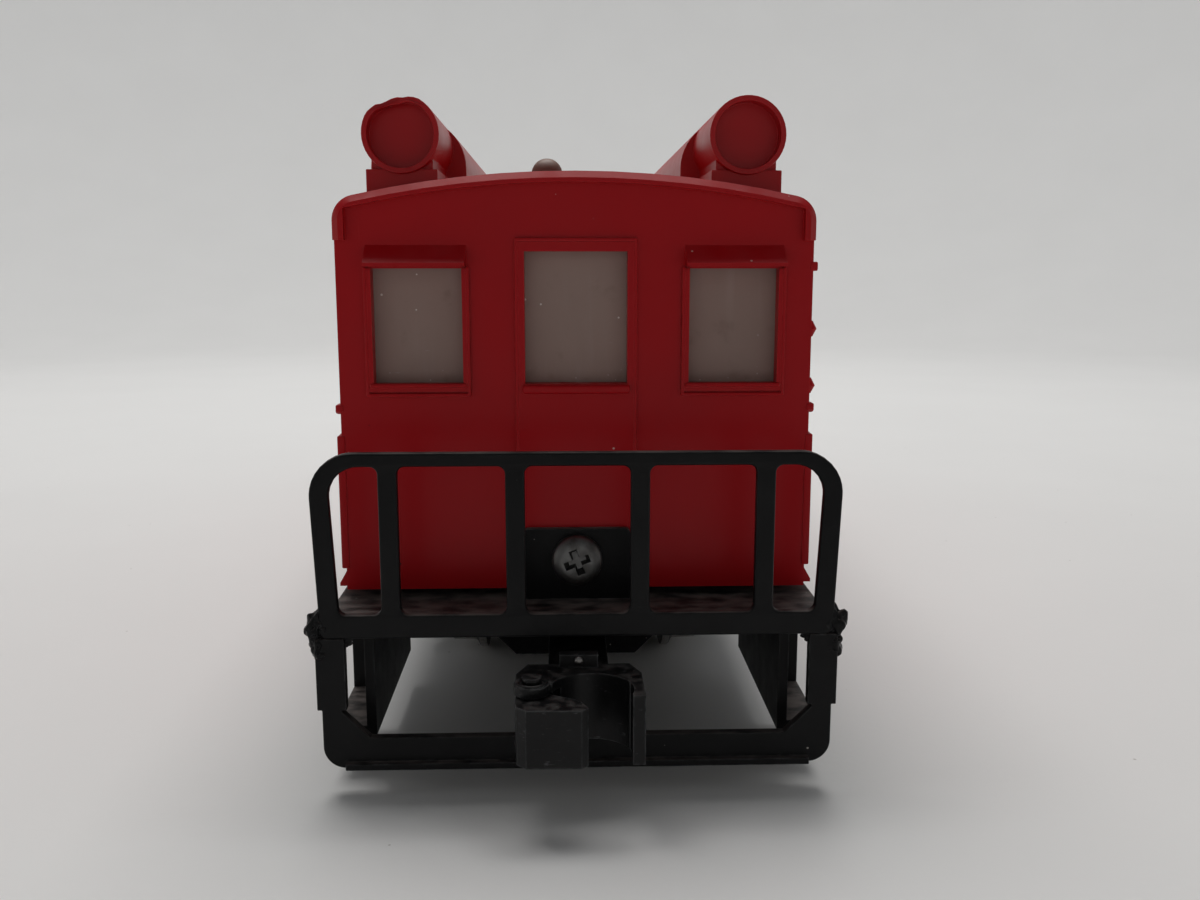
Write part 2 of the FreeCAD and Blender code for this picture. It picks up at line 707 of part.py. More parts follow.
def wheel():
    """A flanged wheel with a dished face, on the right end of its axle."""
    rim = d.tread_radius - d.rim_width
    hub = d.hub_radius
    web = wheel_out - d.dish_depth
    profile = [(wheel_in, d.axle_radius), (wheel_out, d.axle_radius), (wheel_out, hub),
               (web, hub), (web, rim), (wheel_out, rim),
               (wheel_out, d.tread_radius - d.face_gap),
               (wheel_in + d.flange_width + d.flange_slope, d.tread_radius),
               (wheel_in + d.flange_width, d.flange_radius), (wheel_in, d.flange_radius)]
    return Body("wheel").turn(profile, origin=(0.0, axle_height))


right_wheel = wheel()
wheel_pair = group(right_wheel, mirrored(right_wheel))
for number, offset in enumerate((-1, 1, -1, 1), start=1):
    truck = -d.truck_place if number <= 2 else d.truck_place
    place = truck + gear_reach * offset
    keep(f"wheels_{number}", moved(wheel_pair, place))
    keep(f"axle_{number}", rod("x", (place, axle_height), both(wheel_out), d.axle_radius))


# ---------------------------------------------------------------- truck frames

plate_under = d.frame_plate_top - d.sheet_thick
field_half = gear_reach - d.field_margin
coupler_pivot = d.truck_place + d.tongue_pivot


def truck_frame():
    """The front truck's folded channel, with the tongue that carries the coupler."""
    centre = -d.truck_place
    half = gear_reach + d.frame_margin
    cheek = box((frame_half - d.sheet_thick, frame_half),
                (centre - half, centre + half),
                (d.frame_bottom, d.frame_plate_top))
    plate = box(both(frame_half), (centre - plate_half_length, centre + plate_half_length),
                (plate_under, d.frame_plate_top))
    tongue = box(both(d.tongue_width / 2), (centre - d.tongue_end, centre),
                 (plate_under, d.frame_plate_top))
    lip_y = (centre - d.lip_place, centre - d.lip_place + d.sheet_thick)
    low = d.frame_bottom
    corner = d.lip_chamfer
    lip = Body("lip").pad("xz", lip_y,
                          [(corner - frame_half, low), (frame_half - corner, low),
                           (frame_half, low + corner), (frame_half, d.frame_plate_top),
                           (-frame_half, d.frame_plate_top), (-frame_half, low + corner)])
    rivet_hole = rod("z", (0.0, -coupler_pivot), (plate_under - PAST, d.frame_plate_top + PAST),
                     d.rivet_radius)
    holes = [rod("x", (centre + gear_reach * side, axle_height), both(frame_half + PAST),
                 d.axle_radius + d.running_gap) for side in (-1, 1)]
    return cut(fuse(cheek, mirrored(cheek), plate, tongue, lip), rivet_hole, *holes)


def front_truck_frame(frame):
    kingpin_hole = rod("z", (0.0, -d.truck_place), (plate_under - PAST, d.frame_plate_top + PAST),
                       d.kingpin_radius + d.running_gap)
    pivot_hole = rod("x", (d.pivot_offset - d.truck_place, d.pivot_height),
                     both(frame_half + PAST), d.pin_radius)
    return cut(frame, kingpin_hole, pivot_hole)


def rear_truck_frame(frame):
    """The driving truck's channel: taller cheeks and an opening for the motor."""
    base = turned(frame)
    cheek = box((frame_half - d.sheet_thick, frame_half),
                (d.truck_place - d.cheek_half, d.truck_place + d.cheek_half),
                (plate_under, d.cheek_top))
    opening = box(both(frame_half - d.sheet_thick),
                  (d.truck_place - field_half, d.truck_place + field_half),
                  (plate_under - PAST, d.frame_plate_top + PAST))
    shaft_hole = rod("x", (d.truck_place, shaft_height), both(frame_half + PAST),
                     d.shaft_radius + d.running_gap)
    stud_hole = rod("x", (d.truck_place, axle_height), (0.0, frame_half + PAST), d.pin_radius)
    brush_holes = [rod("x", (d.truck_place + d.brush_spread * side, shaft_height),
                       (-frame_half - PAST, 0.0), d.brush_radius + d.face_gap)
                   for side in (-1, 1)]
    return cut(fuse(base, cheek, mirrored(cheek)), opening, shaft_hole, stud_hole, *brush_holes)


def side_frame():
    """The cast ring round the wheels: two side frames joined by end bars."""
    centre = -d.truck_place
    inner = d.side_frame_inner
    outer = inner + d.side_frame_thick
    half = plate_half_length
    top = d.side_frame_top
    low = d.side_frame_bottom
    arch_low = low + (top - low) * d.side_arch
    flat = half * d.side_arch
    slope = half * (d.side_arch + d.side_taper)
    sides = Body("side").pad(
        "yz", (inner, outer),
        [(centre - flat, low), (centre + flat, low), (centre + slope, arch_low),
         (centre + half, arch_low), (centre + half, top), (centre - half, top),
         (centre - half, arch_low), (centre - slope, arch_low)])
    boxes = [rod("x", (centre + gear_reach * side, axle_height),
                 (inner, outer + d.journal_reach), d.journal_radius) for side in (-1, 1)]
    bar_top = plate_under
    bars = [box(both(inner + d.side_frame_thick / 2),
                (centre + (half - d.crossbar_width) * side, centre + half * side)
                if side > 0 else
                (centre - half, centre - half + d.crossbar_width),
                (bar_top - d.crossbar_width, bar_top)) for side in (-1, 1)]
    casting = fuse(sides, *boxes)
    return fuse(casting, mirrored(casting), *bars)


def kingpin():
    """The shouldered stud that the front truck swivels on."""
    head_top = plate_under - d.face_gap
    shoulder = d.frame_plate_top + d.face_gap
    wide = d.kingpin_head
    thin = d.kingpin_radius
    profile = [(0.0, head_top - d.sheet_thick), (wide, head_top - d.sheet_thick),
               (wide, head_top), (thin, head_top), (thin, shoulder), (wide, shoulder),
               (wide, deck_bottom), (thin, deck_bottom), (thin, d.deck_top),
               (wide, d.deck_top), (wide, d.deck_top + d.kingpin_nut),
               (0.0, d.deck_top + d.kingpin_nut)]
    return Body("kingpin").turn(profile, axis="V_Axis", offset=-d.truck_place)


shaft_height = axle_height + d.gear_module * (d.gear_teeth + d.pinion_teeth) / 2
plain_frame = truck_frame()
keep("front_truck_frame", front_truck_frame(plain_frame))
keep("rear_truck_frame", rear_truck_frame(plain_frame))
ring = side_frame()
keep("front_side_frames", ring)
keep("rear_side_frames", turned(ring))
keep("front_kingpin", kingpin())


# ---------------------------------------------------------------- collector roller

def collector():
    """The sprung arm under the front truck, with its roller, pins and spring."""
    pivot = d.pivot_offset - d.truck_place
    roller = -(d.truck_place + d.roller_offset)
    lift = d.pivot_height
    drop = d.roller_height
    heel = d.pin_radius * 2
    below = d.ear_below
    above = d.ear_above
    ear_in = d.roller_half + d.roller_play
    ear_out = ear_in + d.ear_thick
    ear = Body("ear").pad(
        "yz", (ear_in, ear_out),
        [(roller - heel, drop - below), (roller + heel, drop - below),
         (pivot + heel, lift - heel), (pivot + heel, lift + above),
         (pivot - above, lift + above), (roller - heel, drop + below)])
    bridge_y = (pivot - heel * 2, pivot - heel)
    bridge_top = lift - d.bridge_drop
    bridge = box(both(d.roller_half + d.ear_thick), bridge_y, (bridge_top - heel, bridge_top))
    slack = d.pin_radius + d.running_gap
    pivot_hole = rod("x", (pivot, lift), both(frame_half), slack)
    pin_hole = rod("x", (roller, drop), both(frame_half), d.pin_radius)
    keep("collector_arm", cut(fuse(ear, mirrored(ear), bridge), pivot_hole, pin_hole))
    body = rod("x", (roller, drop), both(d.roller_half), d.roller_radius)
    bore = rod("x", (roller, drop), both(frame_half), slack)
    keep("collector_roller", cut(body, bore))
    keep("roller_pin", rod("x", (roller, drop), both(ear_out + d.pin_end), d.pin_radius))
    keep("collector_pivot", rod("x", (pivot, lift), both(frame_half), d.pin_radius))
    seat = (0.0, pivot - heel * 1.5)
    height = (bridge_top + d.running_gap, plate_under)
    outside = rod("z", seat, height, d.spring_radius)
    inside = rod("z", seat, (bridge_top, plate_under + PAST), d.spring_radius - d.spring_wire)
    keep("collector_spring", cut(outside, inside))


collector()


# ---------------------------------------------------------------- motor and gears

gear_x = (frame_half + d.gear_gap, frame_half + d.gear_gap + d.gear_width)


def tooth_flank(teeth, module, backlash, pressure=math.radians(20)):
    """Radius and half angle of a tooth at its root, base, pitch and tip circles."""
    pitch = module * teeth / 2
    base = pitch * math.cos(pressure)
    tip = pitch + module
    root = pitch - module * 1.25
    half_at_pitch = math.pi / (2 * teeth) - backlash / (4 * pitch)
    involute = math.tan(pressure) - pressure

    def half_angle(radius):
        slope = math.acos(min(1.0, base / radius))
        return half_at_pitch + involute - (math.tan(slope) - slope)

    steps = [max(base, root), (max(base, root) + pitch) / 2, pitch, (pitch + tip) / 2, tip]
    flank = [(radius, half_angle(radius)) for radius in steps]
    return [(root, half_angle(max(base, root)))] + flank


def gear(label, teeth, centre, bore, phase):
    """A spur gear about X; phase turns it so that its teeth sit in the gaps of its mate."""
    flank = tooth_flank(teeth, d.gear_module.value, d.gear_backlash.value)
    points = []
    for number in range(teeth):
        middle = phase + 2 * math.pi * number / teeth
        rise = [(radius, middle - half) for radius, half in flank]
        fall = [(radius, middle + half) for radius, half in reversed(flank)]
        points += [V(0, radius * math.cos(angle), radius * math.sin(angle))
                   for radius, angle in rise + fall]
    outline = Part.makePolygon(points + points[:1])
    width = V(gear_x[1].value - gear_x[0].value, 0, 0)
    blank = Part.Face(outline).extrude(width)
    hole = Part.makeCylinder(bore, width.x, V(), V(1, 0, 0))
    wheel_shape = doc.addObject("Part::Feature", label)
    wheel_shape.Shape = blank.cut(hole)
    wheel_shape.Placement = FreeCAD.Placement(
        V(gear_x[0].value, centre[0].value, centre[1].value), FreeCAD.Rotation())
    return keep(label, wheel_shape)


def gear_train():
    """Both axle gears mesh with the idler between them, and the pinion with its top."""
    teeth = int(d.gear_teeth.value)
    pinion_teeth = int(d.pinion_teeth.value)
    axle = d.axle_radius.value
    half_tooth = math.pi / teeth
    middle = (d.truck_place, axle_height)
    for number, side in ((3, -1), (4, 1)):
        place = (d.truck_place + gear_reach * side, axle_height)
        gear(f"axle_gear_{number}", teeth, place, axle, 0.0)
    gear("idler_gear", teeth, middle, (d.pin_radius + d.running_gap).value, half_tooth)
    idler_top = half_tooth + 2 * half_tooth * round((math.pi / 2 - half_tooth) / (2 * half_tooth))
    lag = (math.pi / 2 - idler_top) * teeth / pinion_teeth
    pinion_phase = -math.pi / 2 + math.pi / pinion_teeth + lag
    gear("pinion", pinion_teeth, (d.truck_place, shaft_height), d.shaft_radius.value,
         pinion_phase)
    stud = rod("x", middle, (frame_half - d.sheet_thick, gear_x[1] + d.face_gap),
               d.pin_radius)
    keep("idler_stud", stud)


def motor():
    """A laminated field with its coil, the armature between its poles, and the brushes."""
    centre = d.truck_place
    axis = (centre, shaft_height)
    half_stack = d.armature_length / 2
    block = box(both(half_stack), (centre - field_half, centre + field_half),
                (d.field_bottom, d.field_top))
    bore = rod("x", axis, both(half_stack + PAST), d.armature_radius + d.armature_gap)
    coil_z = (d.coil_bottom, d.coil_bottom + d.coil_height)
    windows = [box(both(half_stack + PAST), (centre + d.limb_half, centre + field_half + PAST),
                   coil_z),
               box(both(half_stack + PAST), (centre - field_half - PAST, centre - d.limb_half),
                   coil_z)]
    keep("motor_field", cut(block, bore, *windows))
    coil_half = field_half - d.armature_gap
    winding = box(both(half_stack + d.coil_bulge), (centre - coil_half, centre + coil_half),
                  coil_z)
    limb = box(both(half_stack), (centre - d.limb_half, centre + d.limb_half), coil_z)
    keep("field_coil", cut(winding, limb))
    core = rod("x", axis, both(half_stack), d.armature_radius)
    shaft = rod("x", axis, (-(frame_half + d.brush_plate_thick), gear_x[1]), d.shaft_radius)
    slots = []
    for number in range(3):
        slot = box(both(half_stack + PAST), both(d.slot_half),
                   (d.slot_floor, d.armature_radius + PAST))
        wedge = group(slot)
        wedge.Placement = FreeCAD.Placement(V(), FreeCAD.Rotation(V(1, 0, 0), 120 * number))
        bind(wedge, "Placement.Base.y", centre)
        bind(wedge, "Placement.Base.z", shaft_height)
        slots.append(wedge)
    keep("armature", fuse(cut(core, *slots), shaft))
    face = (-(half_stack + d.commutator_length), -half_stack)
    ring_outer = rod("x", axis, face, d.brush_spread + d.brush_radius + d.commutator_edge)
    ring_inner = rod("x", axis, (face[0] - PAST, face[1] + PAST), d.shaft_radius)
    keep("commutator", cut(ring_outer, ring_inner))
    plate_x = (-(frame_half + d.brush_plate_thick), -frame_half)
    plate = box(plate_x, (centre - d.brush_half, centre + d.brush_half),
                (shaft_height - d.brush_drop, shaft_height + d.brush_rise))
    places = [(centre + d.brush_spread * side, shaft_height) for side in (-1, 1)]
    tubes = [rod("x", place, (plate_x[0] - d.brush_reach, plate_x[0]), d.brush_tube)
             for place in places]
    bores = [rod("x", place, (plate_x[0] - d.brush_reach + d.sheet_thick / 2, 0.0),
                 d.brush_radius) for place in places]
    bearing = rod("x", axis, both(frame_half * 2), d.shaft_radius + d.running_gap)
    keep("brush_plate", cut(fuse(plate, *tubes), bearing, *bores))
    brushes = [rod("x", place, (plate_x[0] - d.brush_reach / 2, face[0] - d.running_gap),
                   d.brush_radius) for place in places]
    keep("brushes", group(*brushes))


def motor_pivot():
    """The stud on the motor, and the bridge over it that ties it to the deck."""
    centre = d.truck_place
    wide = d.kingpin_head
    thin = d.kingpin_radius
    seat = d.bridge_bottom - d.face_gap
    above = d.bridge_bottom + d.sheet_thick + d.face_gap
    profile = [(0.0, d.field_top), (wide, d.field_top), (wide, seat), (thin, seat),
               (thin, above), (wide, above), (wide, above + d.sheet_thick),
               (0.0, above + d.sheet_thick)]
    keep("motor_stud", Body("motor_stud").turn(profile, axis="V_Axis", offset=centre))
    leg = d.opening_along / 2 + d.sheet_thick
    outer = leg + d.sheet_thick
    top = d.bridge_bottom + d.sheet_thick
    strap = box(both(d.bridge_width / 2), (centre - outer, centre + outer), (d.deck_top, top))
    hollow = box(both(d.bridge_width), (centre - leg, centre + leg),
                 (d.deck_top - PAST, d.bridge_bottom))
    foot = box(both(d.bridge_width / 2), (centre - outer - d.bridge_foot, centre - leg),
               (d.deck_top, d.deck_top + d.sheet_thick))
    far_foot = box(both(d.bridge_width / 2), (centre + leg, centre + outer + d.bridge_foot),
                   (d.deck_top, d.deck_top + d.sheet_thick))
    hole = rod("z", (0.0, centre), (d.bridge_bottom - PAST, top + PAST), thin + d.running_gap)
    keep("motor_bridge", cut(fuse(cut(strap, hollow), foot, far_foot), hole))


gear_train()
motor()
motor_pivot()


# ---------------------------------------------------------------- couplers

def coupler():
    """The front coupler: shank and head, hinged knuckle, its pin, and the pivot rivet."""
    pivot = (0.0, -coupler_pivot)
    head_back = end_reach + d.head_back
    shoulder = end_reach + d.head_shoulder
    head_tip = end_reach + d.head_tip
    knuckle_along = end_reach + d.knuckle_along
    half_shank = d.shank_width / 2
    shank = box(both(half_shank), front(coupler_pivot - half_shank, shoulder),
                (d.shank_bottom, d.shank_bottom + d.shank_height))
    half = d.head_half
    height = (d.head_bottom, d.head_top)
    block = Body("head").pad(
        "xy", height,
        [(-half, -knuckle_along), (half, -knuckle_along), (half, -shoulder),
         (half - d.head_taper, -head_back), (d.head_taper - half, -head_back),
         (-half, -shoulder)])
    guard = box((half - d.guard_width, half), front(knuckle_along, head_tip), height)
    hinge = (-d.knuckle_across, -knuckle_along)
    ear = rod("z", hinge, height, d.ear_radius)
    pad = box(both(d.pad_half), front(head_back, head_back + d.pad_depth),
              (d.head_top, d.head_top + d.pad_rise))
    cavity_centre = (d.cavity_across, -(end_reach + d.cavity_along))
    cavity = rod("z", cavity_centre, (0.0, d.head_top + d.pad_rise),
                 d.cavity_radius)
    between_ears = (d.head_bottom + d.ear_height, d.head_top - d.ear_height)
    mouth = box((-half - d.ear_radius, d.knuckle_eye - half + d.ear_radius + d.head_taper),
                front(end_reach + d.mouth_back, head_tip), between_ears)
    pin_hole = rod("z", hinge, (0.0, d.head_top + PAST), d.knuckle_pin)
    rivet_hole = rod("z", pivot, (0.0, d.head_top), d.rivet_radius + d.running_gap)
    keep("front_coupler", cut(fuse(shank, block, guard, ear, pad), cavity, mouth, pin_hole,
                              rivet_hole))

    gap = d.running_gap * 3
    arm_z = (between_ears[0] + gap, between_ears[1] - gap)
    left = -d.knuckle_across - d.knuckle_eye
    root = -(end_reach + d.knuckle_root)
    tip = -(end_reach + d.knuckle_tip)
    end = d.knuckle_end
    eye = rod("z", hinge, arm_z, d.knuckle_eye)
    arm = Body("arm").pad(
        "xy", arm_z,
        [(left, -knuckle_along), (left, root - gap), (0.0, root - gap),
         (end - d.guard_width, root + d.knuckle_soft),
         (d.knuckle_eye - d.knuckle_across, -knuckle_along)])
    jaw = Body("jaw").pad(
        "xy", (d.head_bottom, arm_z[1]),
        [(left, root), (left + gap, tip + d.head_taper), (left + d.head_taper, tip + gap),
         (end - d.knuckle_soft, tip), (end, tip + d.knuckle_soft), (end - d.knuckle_soft, root)])
    hole = rod("z", hinge, (0.0, d.head_top), d.knuckle_pin + d.running_gap)
    keep("front_knuckle", cut(fuse(eye, arm, jaw), hole))

    pin_head = rod("z", hinge, (d.head_top, d.head_top + d.rivet_rise), d.pin_head)
    keep("front_knuckle_pin", fuse(rod("z", hinge, (d.pin_bottom, d.head_top), d.knuckle_pin),
                                   pin_head))
    low = d.shank_bottom - d.face_gap
    rivet = [rod("z", pivot, (low, d.frame_plate_top), d.rivet_radius),
             rod("z", pivot, (low - d.rivet_rise, low), d.rivet_head),
             rod("z", pivot, (d.frame_plate_top, d.frame_plate_top + d.rivet_rise),
                 d.rivet_head)]
    keep("front_coupler_rivet", fuse(*rivet))


coupler()
for part in pieces[-4:]:
    keep(part.Label.replace("front", "rear"), turned(part))


# ---------------------------------------------------------------- inside the body

def inside():
    deck = d.deck_top
    far = half_length - d.weight_inset
    near = d.truck_place + d.kingpin_head + d.weight_gap
    keep("ballast_weight", box(both(d.weight_width / 2), front(near, far),
                               (deck, deck + d.weight_height)))
    pivot = (0.0, d.lever_pivot)
    half = d.unit_half
    unit = box(both(half - d.face_gap), both(half), (deck, deck + d.unit_height))
    socket = rod("x", pivot, (0.0, half), d.pin_radius)
    keep("reversing_unit", cut(unit, socket))
    lever = box((half, half + d.sheet_thick), both(d.lever_width / 2),
                (d.lever_bottom, d.lever_pivot + d.lever_width / 2))
    shaft = rod("x", pivot, (half / 2, half), d.pin_radius - d.running_gap)
    keep("reversing_lever", fuse(lever, shaft))
    lamp = (0.0, -d.lamp_place)
    socket_top = deck + d.socket_height
    shell = rod("z", lamp, (deck, socket_top), d.socket_radius)
    well = rod("z", lamp, (deck + d.sheet_thick, socket_top + PAST), d.bulb_neck + d.face_gap)
    keep("lamp_socket", cut(shell, well))
    neck = rod("z", lamp, (deck + d.sheet_thick, socket_top + d.bulb_neck), d.bulb_neck)
    keep("lamp_bulb", fuse(neck, ball(*lamp, socket_top + d.bulb_radius + d.face_gap,
                                      d.bulb_radius)))


inside()


# ---------------------------------------------------------------- check and write

doc.recompute()
for thing in doc.Objects:
    if {"Invalid", "Error"} & set(thing.State):
        raise SystemExit(f"{thing.Label} ({thing.TypeId}) failed: {thing.State}")
for piece in pieces:
    if piece.Shape.isNull() or not piece.Shape.isValid() or not piece.Shape.Solids:
        raise SystemExit(f"{piece.Label} has no valid shape")

os.makedirs("parts", exist_ok=True)
for piece in pieces:
    piece.Shape.exportStep(f"parts/{piece.Label}.step")
print(len(pieces), "pieces written")
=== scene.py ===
"""Finished looks of a model diesel locomotive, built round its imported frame.

The sections follow the bench: deck, trucks, motor and gears, couplers, fittings inside the
body, red moulding, windows, roof tanks and stack, end railings, screws, then table and lights.
"""
import math

import bmesh
import bpy
from mathutils import Matrix, Vector, noise


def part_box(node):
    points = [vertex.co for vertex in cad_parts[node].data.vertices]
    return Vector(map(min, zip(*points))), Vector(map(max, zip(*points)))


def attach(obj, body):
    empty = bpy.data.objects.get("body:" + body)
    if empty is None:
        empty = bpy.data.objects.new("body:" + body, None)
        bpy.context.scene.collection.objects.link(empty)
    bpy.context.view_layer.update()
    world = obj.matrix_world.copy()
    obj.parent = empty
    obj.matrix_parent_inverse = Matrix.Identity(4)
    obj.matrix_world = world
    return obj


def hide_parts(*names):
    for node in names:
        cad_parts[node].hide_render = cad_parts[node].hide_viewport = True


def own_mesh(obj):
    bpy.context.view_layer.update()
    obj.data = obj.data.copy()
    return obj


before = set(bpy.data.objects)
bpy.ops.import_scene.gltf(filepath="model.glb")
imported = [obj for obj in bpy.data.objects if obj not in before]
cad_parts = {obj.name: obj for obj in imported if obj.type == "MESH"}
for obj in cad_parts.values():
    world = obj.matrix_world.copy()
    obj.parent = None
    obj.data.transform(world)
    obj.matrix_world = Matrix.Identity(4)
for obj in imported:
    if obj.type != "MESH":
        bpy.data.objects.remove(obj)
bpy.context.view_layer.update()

MM = 0.001

# ------------------------------------------------------------------------------ deck
# The deck is one pressing of black painted sheet steel, with side skirts, step treads and an
# upright tab at each end for the body screw. Years on a shelf have left grey dust on top.


class Wire:
    """A socket of a node tree; sums and products of wires add their Math nodes."""

    def __init__(self, wiring, socket):
        self.wiring = wiring
        self.socket = socket

    def math(self, operation, first, second):
        return self.wiring.node("ShaderNodeMath", {"operation": operation},
                                {0: first, 1: second})

    def __add__(self, other):
        return self.math("ADD", self, other)

    def __sub__(self, other):
        return self.math("SUBTRACT", self, other)

    def __mul__(self, other):
        return self.math("MULTIPLY", self, other)

    def __rsub__(self, other):
        return self.math("SUBTRACT", other, self)

    __radd__ = __add__
    __rmul__ = __mul__


class Wiring:
    """A node tree; node() adds any node, makes its settings first and then its links."""

    def __init__(self, tree):
        self.tree = tree
        tree.nodes.clear()

    def node(self, kind, settings=None, sockets=None, out=0):
        made = self.tree.nodes.new(kind)
        for name, setting in (settings or {}).items():
            setattr(made, name, setting)
        for name, value in (sockets or {}).items():
            socket = made.inputs[name]
            if isinstance(value, Wire):
                self.tree.links.new(value.socket, socket)
            elif socket.type == "RGBA":
                socket.default_value = (*value, 1.0)
            else:
                socket.default_value = value
        return Wire(self, made.outputs[out]) if made.outputs else made


class Finish(Wiring):
    """A material, with the patterns that dust, wear and moulding leave on a surface."""

    def __init__(self, name):
        self.material = bpy.data.materials.new(name)
        self.material.use_nodes = True
        super().__init__(self.material.node_tree)
        self.place = self.node("ShaderNodeTexCoord", out="Object")
        self.facing = self.node("ShaderNodeNewGeometry", out="Normal")

    def stretched(self, along):
        """Places squeezed along each axis, so that a pattern on them comes out drawn out."""
        return self.node("ShaderNodeMapping", {}, {"Vector": self.place, "Scale": along})

    def grain(self, size, detail=3.0, place=None):
        """Cloudy noise from 0 to 1, with features of a size in millimetres."""
        return self.node("ShaderNodeTexNoise", {}, {
            "Vector": place or self.place, "Scale": 1 / (size * MM), "Detail": detail})

    def rise(self, value, low, high):
        """0 under low, 1 over high, and a soft rise between them."""
        return self.node("ShaderNodeMapRange", {"interpolation_type": "SMOOTHSTEP"}, {
            "Value": value, "From Min": low, "From Max": high})

    def mix(self, share, first, second):
        return self.node("ShaderNodeMix", {"data_type": "RGBA"}, {0: share, 6: first, 7: second},
                         out=2)

    def axis(self, letter, vector=None):
        return self.node("ShaderNodeSeparateXYZ", {}, {0: vector or self.place}, out=letter)

    def unsigned(self, value):
        return self.node("ShaderNodeMath", {"operation": "ABSOLUTE"}, {0: value})

    def upward(self):
        """1 on faces that look up, where dust settles."""
        return self.rise(self.axis("Z", self.facing), 0.35, 0.9)

    def rubbed(self, reach):
        """1 along outer edges, where paint and plastic wear first, and where the red plastic gets
        a painted highlight.
        """
        soft = self.node("ShaderNodeBevel", {"samples": 4}, {"Radius": reach * MM})
        along = self.node("ShaderNodeVectorMath", {"operation": "DOT_PRODUCT"},
                          {0: soft, 1: self.facing}, out="Value")
        return self.rise(1 - along, 0.03, 0.22)

    def flecks(self, spacing, share, size=0.1):
        """Small separate spots: the share of cells that hold one, and its size in the cell."""
        settings = {"Vector": self.place, "Scale": 1 / (spacing * MM)}
        near = self.node("ShaderNodeTexVoronoi", {}, settings, out="Distance")
        tint = self.node("ShaderNodeTexVoronoi", {}, settings, out="Color")
        chance = self.node("ShaderNodeSeparateColor", {}, {0: tint}, out="Red")
        return self.rise(near, size, size * 0.6) * self.rise(chance, 1 - share, 1 - share * 0.9)

    def made(self, colour, roughness, height=None, depth=0.0, **fixed):
        """Close the tree with its one shader; height is a relief, depth mm deep."""
        sockets = {"Base Color": colour, "Roughness": roughness, **fixed}
        if height is not None:
            sockets["Normal"] = self.node("ShaderNodeBump", {}, {
                "Height": height, "Strength": 1.0, "Distance": depth * MM})
        shader = self.node("ShaderNodeBsdfPrincipled", {}, sockets)
        self.node("ShaderNodeOutputMaterial", {}, {"Surface": shader})
        return self.material


def black_paint(name, dust, wear, gloss=0.42):
    """Black enamel with settled dust, greasy patches and grey rubbed edges."""
    paint = Finish(name)
    patches = paint.grain(7.0, 4.0)
    colour = paint.mix(patches, (0.003, 0.003, 0.0035), (0.010, 0.010, 0.0105))
    swirl = paint.rise(paint.grain(2.0, 8.0, paint.stretched((0.7, 1.2, 1.0))), 0.26, 0.66)
    settled = paint.upward() * swirl * dust
    colour = paint.mix(settled, colour, (0.17, 0.145, 0.135))
    film = paint.rise(paint.grain(11.0, 5.0), 0.52, 0.8) * (dust * 0.2)
    colour = paint.mix(film, colour, (0.040, 0.038, 0.037))
    worn = paint.rubbed(0.3) * paint.rise(paint.grain(1.3, 4.0), 0.38, 0.62) * wear
    colour = paint.mix(worn, colour, (0.085, 0.085, 0.088))
    colour = paint.mix(paint.flecks(1.7, 0.10, 0.09), colour, (0.33, 0.31, 0.29))
    roughness = paint.grain(3.0, 4.0) * 0.22 + (gloss - 0.11) + settled * 0.3
    relief = paint.grain(0.45, 3.0) + paint.grain(2.5, 2.0)
    return paint.made(colour, roughness, relief, 0.022, **{"Specular IOR Level": 0.14})


def eased(node, width, sharp=30.0, rings=2):
    """A copy of a CAD solid with its loose triangles joined and its sharp edges rounded."""
    shape = bmesh.new()
    shape.from_mesh(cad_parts[node].data)
    bmesh.ops.remove_doubles(shape, verts=shape.verts, dist=0.001 * MM)
    bmesh.ops.dissolve_limit(shape, angle_limit=math.radians(0.5), verts=shape.verts,
                             edges=shape.edges)
    edges = [edge for edge in shape.edges if edge.calc_face_angle(0.0) > math.radians(sharp)]
    bmesh.ops.bevel(shape, geom=edges, offset=width * MM, segments=rings, profile=0.5,
                    affect="EDGES", clamp_overlap=True)
    return shape


def add(name, shape, body, finish, nodes=()):
    """Put a piece in the scene: smooth it, paint it and fix it to its body."""
    if isinstance(shape, bmesh.types.BMesh):
        mesh = bpy.data.meshes.new(name)
        for face in shape.faces:
            face.smooth = True
        for edge in shape.edges:
            edge.smooth = edge.calc_face_angle(0.0) < math.radians(38.0)
        shape.to_mesh(mesh)
        shape.free()
    else:
        mesh = shape
    mesh.materials.clear()
    mesh.materials.append(finish)
    piece = bpy.data.objects.new(name, mesh)
    bpy.context.scene.collection.objects.link(piece)
    shading = piece.modifiers.new("even_shading", "WEIGHTED_NORMAL")
    shading.keep_sharp = True
    settle(piece)
    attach(piece, body)
    if nodes:
        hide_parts(*nodes)
    return piece


def settle(piece):
    """Turn what a piece's modifiers make into its own plain mesh."""
    shown = piece.evaluated_get(bpy.context.evaluated_depsgraph_get())
    mesh = bpy.data.meshes.new_from_object(shown)
    mesh.name = piece.name
    piece.modifiers.clear()
    piece.data = mesh


deck_paint = black_paint("dusty_deck_paint", dust=0.9, wear=0.5)
add("deck", eased("chassis_frame", 0.2), "locomotive", deck_paint,
    ["chassis_frame"])


# Each corner of the deck holds the end railing by melted, pitted black beads.

def lump(centre, reach, seed):
    """A pitted bead of set glue, in millimetres about its centre."""
    shape = bmesh.new()
    bmesh.ops.create_icosphere(shape, subdivisions=4, radius=1.0)
    shift = Vector((seed * 7.3, seed * 3.1, seed * 5.7))
    for vertex in shape.verts:
        direction = vertex.co.normalized()
        swell = 1 + 0.45 * noise.noise(direction * 1.6 + shift)
        pit = max(0.0, noise.noise(direction * 4.5 + shift) - 0.15) * 0.5
        spread = Vector(direction[i] * reach[i] for i in range(3))
        vertex.co = (Vector(centre) + spread * (swell - pit)) * MM
    return shape


